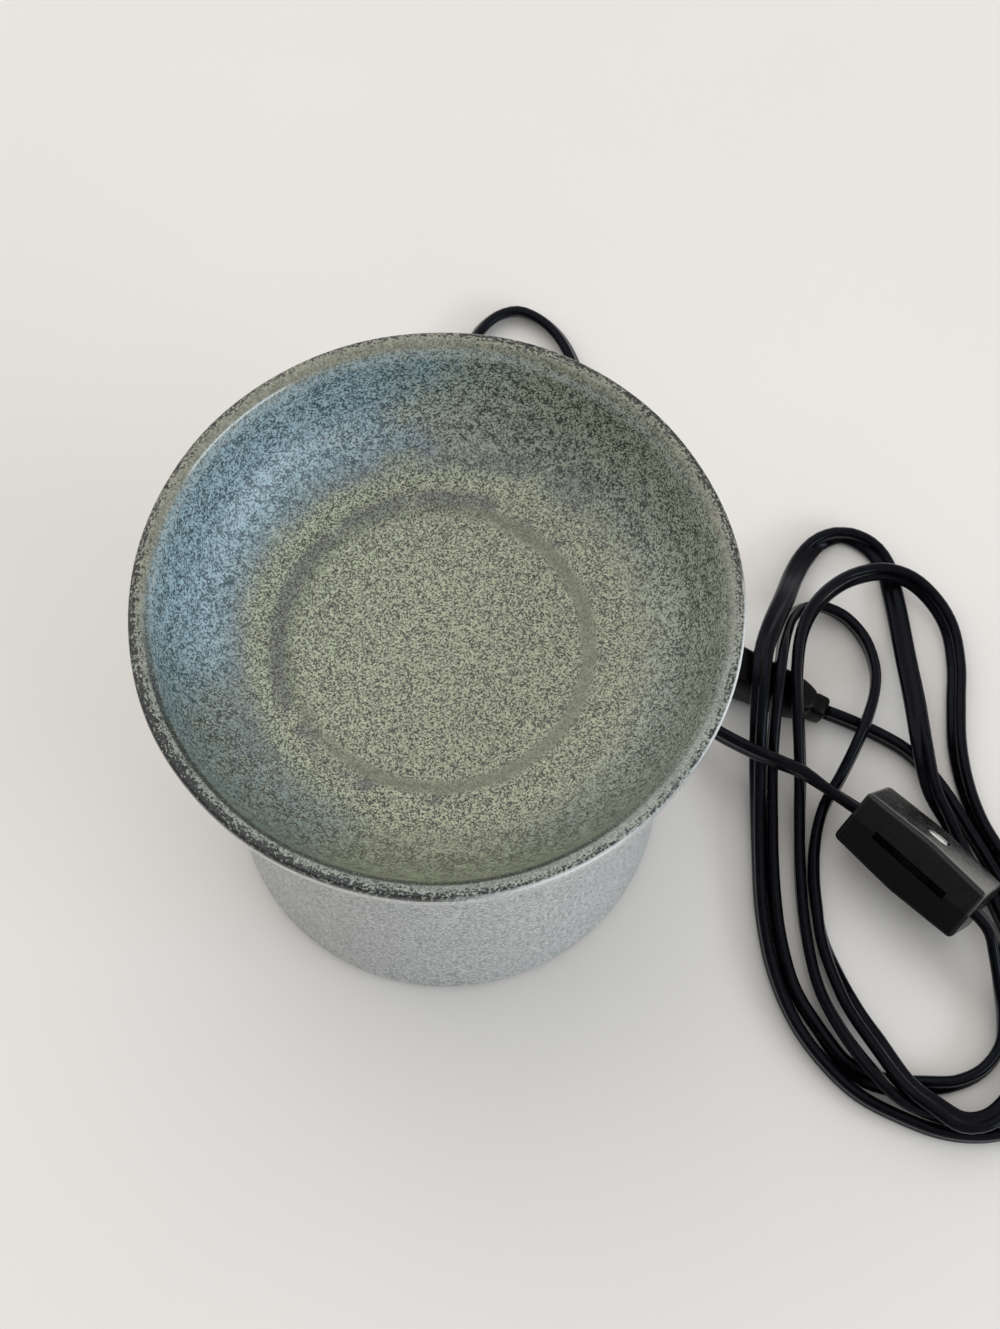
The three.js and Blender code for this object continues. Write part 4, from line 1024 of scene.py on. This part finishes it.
def make_hot_plate(material):
    outline = rounded([
        (0, PLATE_UNDER), (PLATE_RADIUS, PLATE_UNDER), (PLATE_RADIUS, FLANGE_UNDER),
        (FLANGE_RADIUS, FLANGE_UNDER), (FLANGE_RADIUS, PLATE_TOP), (0, PLATE_TOP),
    ], PLATE_ROUND, 3)
    made = turned("hot_plate_faced", outline, PLATE_STEPS, material)
    stands_for(made, "base", "hot_plate")


def make_feet(material):
    outline = rounded([
        (0, 0.0), (FOOT_RADIUS - FOOT_DRAFT, 0.0), (FOOT_RADIUS, FOOT_HEIGHT), (0, FOOT_HEIGHT),
    ], FOOT_ROUND, 4)
    for i in range(4):
        made = turned(f"foot_pad_{i + 1}", outline, SMALL_STEPS, material)
        angle = math.pi / 4 + i * math.pi / 2
        placed(made, Matrix.Translation((FOOT_REACH * math.cos(angle), FOOT_REACH * math.sin(angle), 0)))
        stands_for(made, "base", f"foot_{i + 1}")


def make_relief(material):
    """Collar and a tail of ribs that get smaller towards the lead."""
    collar_end = RELIEF_FACE + COLLAR_LENGTH
    neck = (RELIEF_NECK, RELIEF_FACE)
    outline = [(0, RELIEF_INSIDE), (RELIEF_NECK, RELIEF_INSIDE), neck]
    collar = [neck, (RELIEF_COLLAR, RELIEF_FACE), (RELIEF_COLLAR, collar_end), (RELIEF_ROOT, collar_end)]
    outline += rounded(collar, COLLAR_ROUND, 3)[1:]
    pitch = (RELIEF_END - collar_end) / RIBS
    for i in range(RIBS):
        start = collar_end + i * pitch
        crest = RIB_RADIUS - RIB_TAPER * (i + 0.5) / RIBS
        outline += [(crest - drop, start + share * pitch) for share, drop in RIB_PROFILE]
    outline += [(RELIEF_TIP, RELIEF_END), (0, RELIEF_END)]
    made = turned("relief_ribbed", outline, SMALL_STEPS, material)
    placed(made, Matrix.Translation((0, 0, RELIEF_HEIGHT)) @ Matrix.Rotation(-math.pi / 2, 4, "X"))
    stands_for(made, "base", "strain_relief")


# Switch

def switch_half(name, side, material, inside):
    """Half of the case: thickest at its middle, slotted for the wheel, with a mouth at each end."""
    end = SWITCH_LENGTH / 2
    outline = [
        (-end, SEAM), (end, SEAM), (end, SWITCH_END_THICKNESS / 2), (0.0, SWITCH_THICKNESS / 2),
        (-end, SWITCH_END_THICKNESS / 2),
    ]
    made = prism(name, outline, -SWITCH_WIDTH / 2, SWITCH_WIDTH / 2, "Y", material)
    round_outer_edges(made, SEAM + 0.01, SWITCH_EDGE)
    inner = SWITCH_WIDTH / 2 - SWITCH_WALL
    pocket = inner - SLOT_BACK
    slot_in = inner - SLOT_BACK / 3
    reach = end - SWITCH_WALL
    deep = SWITCH_END_THICKNESS / 2 - SWITCH_WALL
    slot = SLOT_LENGTH / 2
    mouth = CORD_WIDTH / 2 + MOUTH_SIDE_ROOM
    mouth_top = CORD_THICKNESS / 2 + MOUTH_FLAT_ROOM
    cut(
        made,
        bar("hollow", -reach, reach, -pocket, pocket, CUT_BELOW, POCKET_DEPTH, material),
        bar("well", -WELL_HALF, WELL_HALF, -inner, inner, CUT_BELOW, deep, material),
        bar("channel", -reach, reach, -CHANNEL_HALF, CHANNEL_HALF, CUT_BELOW, deep, material),
        bar("slot_low", -slot, slot, -SWITCH_WIDTH, -slot_in, CUT_BELOW, SLOT_HALF, inside),
        bar("slot_high", -slot, slot, slot_in, SWITCH_WIDTH, CUT_BELOW, SLOT_HALF, inside),
        bar("mouth", -SWITCH_LENGTH, SWITCH_LENGTH, -mouth, mouth, CUT_BELOW, mouth_top, material),
    )
    if side > 0:
        recess, sink = circle(SCREW_RECESS, 32), SCREW_SINK
    else:
        recess, sink = circle(NUT_RADIUS, 6), NUT_SINK
    cut(made, prism("recess", recess, SWITCH_THICKNESS / 2 - sink, CUT_PAST, "Z", material))
    if side < 0:
        placed(made, Matrix.Rotation(math.pi, 4, "X"))
    even_shading(made)
    return placed(made, switch_matrix())


def make_wheel(material):
    """Thumbwheel with a toothed edge and a bore for its spindle."""
    rim = []
    for tooth in range(WHEEL_TEETH):
        for share, drop in TOOTH_PROFILE:
            angle = 2 * math.pi * (tooth + share) / WHEEL_TEETH
            radius = WHEEL_RADIUS - drop
            rim.append((radius * math.cos(angle), radius * math.sin(angle)))
    made = prism("switch_thumbwheel", rim, -WHEEL_THICKNESS / 2, WHEEL_THICKNESS / 2, "Z", material)
    cut(made, prism("bore", circle(SPINDLE_RADIUS, 28), -CUT_PAST, CUT_PAST, "Z", material))
    soften(made, WHEEL_EDGE)
    placed(made, switch_matrix())
    return stands_for(made, "thumbwheel", "switch_wheel")


def make_screw(material):
    """Pan head with a single slot, and its shank."""
    end = SCREW_SHORT - SWITCH_THICKNESS / 2
    head = SWITCH_THICKNESS / 2 - SCREW_SINK
    top = head + SCREW_HEAD_HEIGHT
    shoulder = (SCREW_HEAD_RADIUS, head + SCREW_HEAD_SIDE)
    outline = [(0, end), (SCREW_SHANK, end), (SCREW_SHANK, head), (SCREW_HEAD_RADIUS, head), shoulder]
    outline += curve(shoulder, (SCREW_HEAD_RADIUS - 0.15, head + 1.8), (1.8, top - 0.05), (0, top), 8)
    made = turned("switch_screw_slotted", outline, SMALL_STEPS, material)
    low, high = head + DRIVER_FLOOR, head + DRIVER_REACH
    cut(made, bar("driver", -DRIVER_REACH, DRIVER_REACH, -DRIVER_HALF, DRIVER_HALF, low, high, material))
    made.data.shade_smooth()
    placed(made, switch_matrix() @ Matrix.Rotation(math.radians(SCREW_TURN), 4, "Z"))
    soften(made, SCREW_EDGE)
    return stands_for(made, "base", "switch_screw")


# Plug

def rounded_side(half, share):
    return math.copysign(half * abs(share) ** PLUG_SQUARENESS, share)


def plug_ring(x, half_width, half_height):
    """One rounded rectangle across the plug."""
    turns = [2 * math.pi * (i + 0.5) / PLUG_SIDES for i in range(PLUG_SIDES)]
    return [(x, rounded_side(half_width, math.cos(t)), rounded_side(half_height, math.sin(t))) for t in turns]


def plug_stations():
    """Width and height of the plug from its rounded tail collar to its face."""
    found = []
    for x, drop in PLUG_COLLAR:
        found.append((x, PLUG_TAIL_WIDTH_HALF - drop, PLUG_TAIL_HALF + PLUG_TAPER * x - drop))
    for share, width in PLUG_BODY:
        x = share * PLUG_LENGTH
        half = PLUG_TAIL_WIDTH_HALF + width * (PLUG_WIDTH_HALF - PLUG_TAIL_WIDTH_HALF)
        trim = 0.5 * ramp(share, 0.95, 1.0) ** 2
        found.append((x, half, PLUG_TAIL_HALF + PLUG_TAPER * x - trim))
    return found


def make_plug(material):
    rings = [plug_ring(*station) for station in plug_stations()]
    n = PLUG_SIDES
    points = [p for ring in rings for p in ring]
    faces = [tuple(range(n - 1, -1, -1)), tuple(range(len(points) - n, len(points)))]
    for start in range(0, len(points) - n, n):
        for i in range(n):
            j = (i + 1) % n
            faces.append((start + i, start + j, start + n + j, start + n + i))
    made = piece("plug_moulded", points, faces, material)
    placed(made, plug_matrix())
    return stands_for(made, "base", "plug_body")


def make_blade(name, node, z, width, material):
    """Flat blade with cut corners and a hole near its tip."""
    half = width / 2
    tip = PLUG_LENGTH + BLADE_REACH
    start = PLUG_LENGTH - BLADE_ROOT
    side = [
        (start, half), (tip - BLADE_CORNER, half), (tip - BLADE_CORNER_CUT, half - BLADE_CORNER_CUT),
        (tip, half - BLADE_CORNER),
    ]
    outline = [(x, -y) for x, y in side] + side[::-1]
    blade = prism(name, outline, z - BLADE_HALF, z + BLADE_HALF, "Z", material)
    hole = circle(BLADE_HOLE, 24, tip - BLADE_HOLE_BACK)
    cut(blade, prism("hole", hole, z - HOLE_REACH, z + HOLE_REACH, "Z", material))
    soften(blade, BLADE_EDGE)
    placed(blade, plug_matrix())
    return stands_for(blade, "base", node)


# Stage and assembly

def add_floor(material):
    sides = ((-1, -1), (1, -1), (1, 1), (-1, 1))
    corners = [(x * TABLE_HALF, y * TABLE_HALF, 0) for x, y in sides]
    floor = piece("table", corners, [(0, 1, 2, 3)], material)


def dress_nodes(finishes):
    """Gives each CAD node that no piece stands for its material."""
    for material, nodes in finishes:
        for node in nodes:
            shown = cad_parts[node]
            shown.data.materials.clear()
            shown.data.materials.append(material)


add_camera()
light_scene()
add_floor(table_paint())

vinyl = cord_vinyl()
black = moulded_plastic(
    "moulded_black", (0.0017, 0.0018, 0.0020), (0.0032, 0.0033, 0.0036),
    roughness=0.24, grain_mm=0.30, flat=0.20, glance=0.14,
)
grey_grain = moulded_plastic(
    "textured_grey", (0.0019, 0.0020, 0.0021), (0.0044, 0.0045, 0.0047),
    roughness=0.24, grain_mm=0.38, flat=0.13, glance=1.0, index=2.0,
)
plug_black = moulded_plastic(
    "plug_black", (0.0011, 0.0012, 0.0014), (0.0022, 0.0023, 0.0026),
    roughness=0.28, grain_mm=0.30, flat=0.09, glance=0.09,
)
wheel_black = moulded_plastic(
    "wheel_black", (0.0006, 0.0006, 0.0007), (0.0012, 0.0012, 0.0013),
    roughness=0.40, grain_mm=0.30, flat=0.05, glance=0.08,
)
brass = plain_metal("contact_brass", (0.72, 0.57, 0.30), 0.30)
bright_steel = plain_metal("screw_steel", (0.80, 0.80, 0.79), 0.20)
zinc = plain_metal("bracket_steel", (0.62, 0.63, 0.64), 0.36)
plate = turned_metal("plate_metal", (0.70, 0.71, 0.72), 0.30)
rubber = soft_compound("foot_rubber", (0.040, 0.040, 0.040), 0.80)
board = soft_compound("bottom_board", (0.030, 0.031, 0.032), 0.68)
silicone = soft_compound("gasket_rubber", (0.27, 0.26, 0.245), 0.72)
heater = soft_compound("heater_ceramic", (0.60, 0.55, 0.47), 0.75)
mica = soft_compound("mica", (0.45, 0.33, 0.16), 0.40)
fuse_case = plain_metal("fuse_shell", (0.66, 0.56, 0.42), 0.34)
white_sleeve = soft_compound("wire_white", (0.69, 0.67, 0.62), 0.62)
red_sleeve = soft_compound("wire_red", (0.27, 0.030, 0.024), 0.62)
crimp = soft_compound("splice_sleeve", (0.40, 0.24, 0.035), 0.55)
pale_glaze = base_glaze()

mouth_reach = SWITCH_LENGTH / 2 - MOUTH_DEPTH
entry = switch_matrix() @ Vector((-mouth_reach, 0, 0))
leaving = switch_matrix() @ Vector((mouth_reach, 0, 0))
plug_end = plug_matrix() @ Vector((-CORD_END_GAP, 0, 0))
relief_end = Vector((0, RELIEF_END + CORD_END_GAP, RELIEF_HEIGHT))

lead_route = [(*relief_end, 0)] + SWITCH_LEAD_POINTS + [(*entry, SWITCH_ROLL + 180)]
loop_route = [(*leaving, SWITCH_ROLL)] + LOOP_POINTS + [(*plug_end, 90)]
lead, lead_path = flat_cord("lead_to_switch", lead_route, vinyl)
loops, loop_path = flat_cord("lead_loops", loop_route, vinyl)
stands_for(lead, "base", "cord_to_switch")
stands_for(loops, "base", "cord_loops")

make_dish(dish_glaze(), pale_glaze)
make_base(pale_glaze)
make_hot_plate(plate)
make_feet(rubber)
make_relief(black)
front = switch_half("switch_case_front", 1, grey_grain, wheel_black)
back = switch_half("switch_case_back", -1, black, wheel_black)
stands_for(front, "base", "switch_front_shell")
stands_for(back, "base", "switch_back_shell")
wheel = make_wheel(wheel_black)
screw = make_screw(bright_steel)
plug = make_plug(plug_black)
blades = [
    make_blade("plug_blade_narrow", "plug_blade_line", BLADE_SPREAD, BLADE_NARROW, brass),
    make_blade("plug_blade_wide", "plug_blade_neutral", -BLADE_SPREAD, BLADE_WIDE, brass),
]

contacts = ["switch_rotor_contact", "switch_contact_in", "switch_contact_out"]
dress_nodes([
    (board, ["bottom_plate"]),
    (silicone, ["plate_gasket"]),
    (heater, ["heater_disc"]),
    (mica, ["mica_disc"]),
    (zinc, [
        "pressure_plate", "bridge_bracket", "tie_rod", "rod_washer", "rod_nut_upper", "rod_nut_lower",
        "fuse_clip",
    ]),
    (fuse_case, ["thermal_fuse"]),
    (white_sleeve, ["fuse_wire", "neutral_wire"]),
    (red_sleeve, ["live_wire"]),
    (crimp, ["splice_live", "splice_neutral"]),
    (vinyl, ["core_live", "core_neutral", "cord_tail"]),
    (black, ["relief_lock_ring"]),
    (brass, contacts),
    (bright_steel, ["switch_nut"]),
])

on_lead = [front, back, screw, wheel]
on_lead += [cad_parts[node] for node in ("switch_nut", *contacts)]
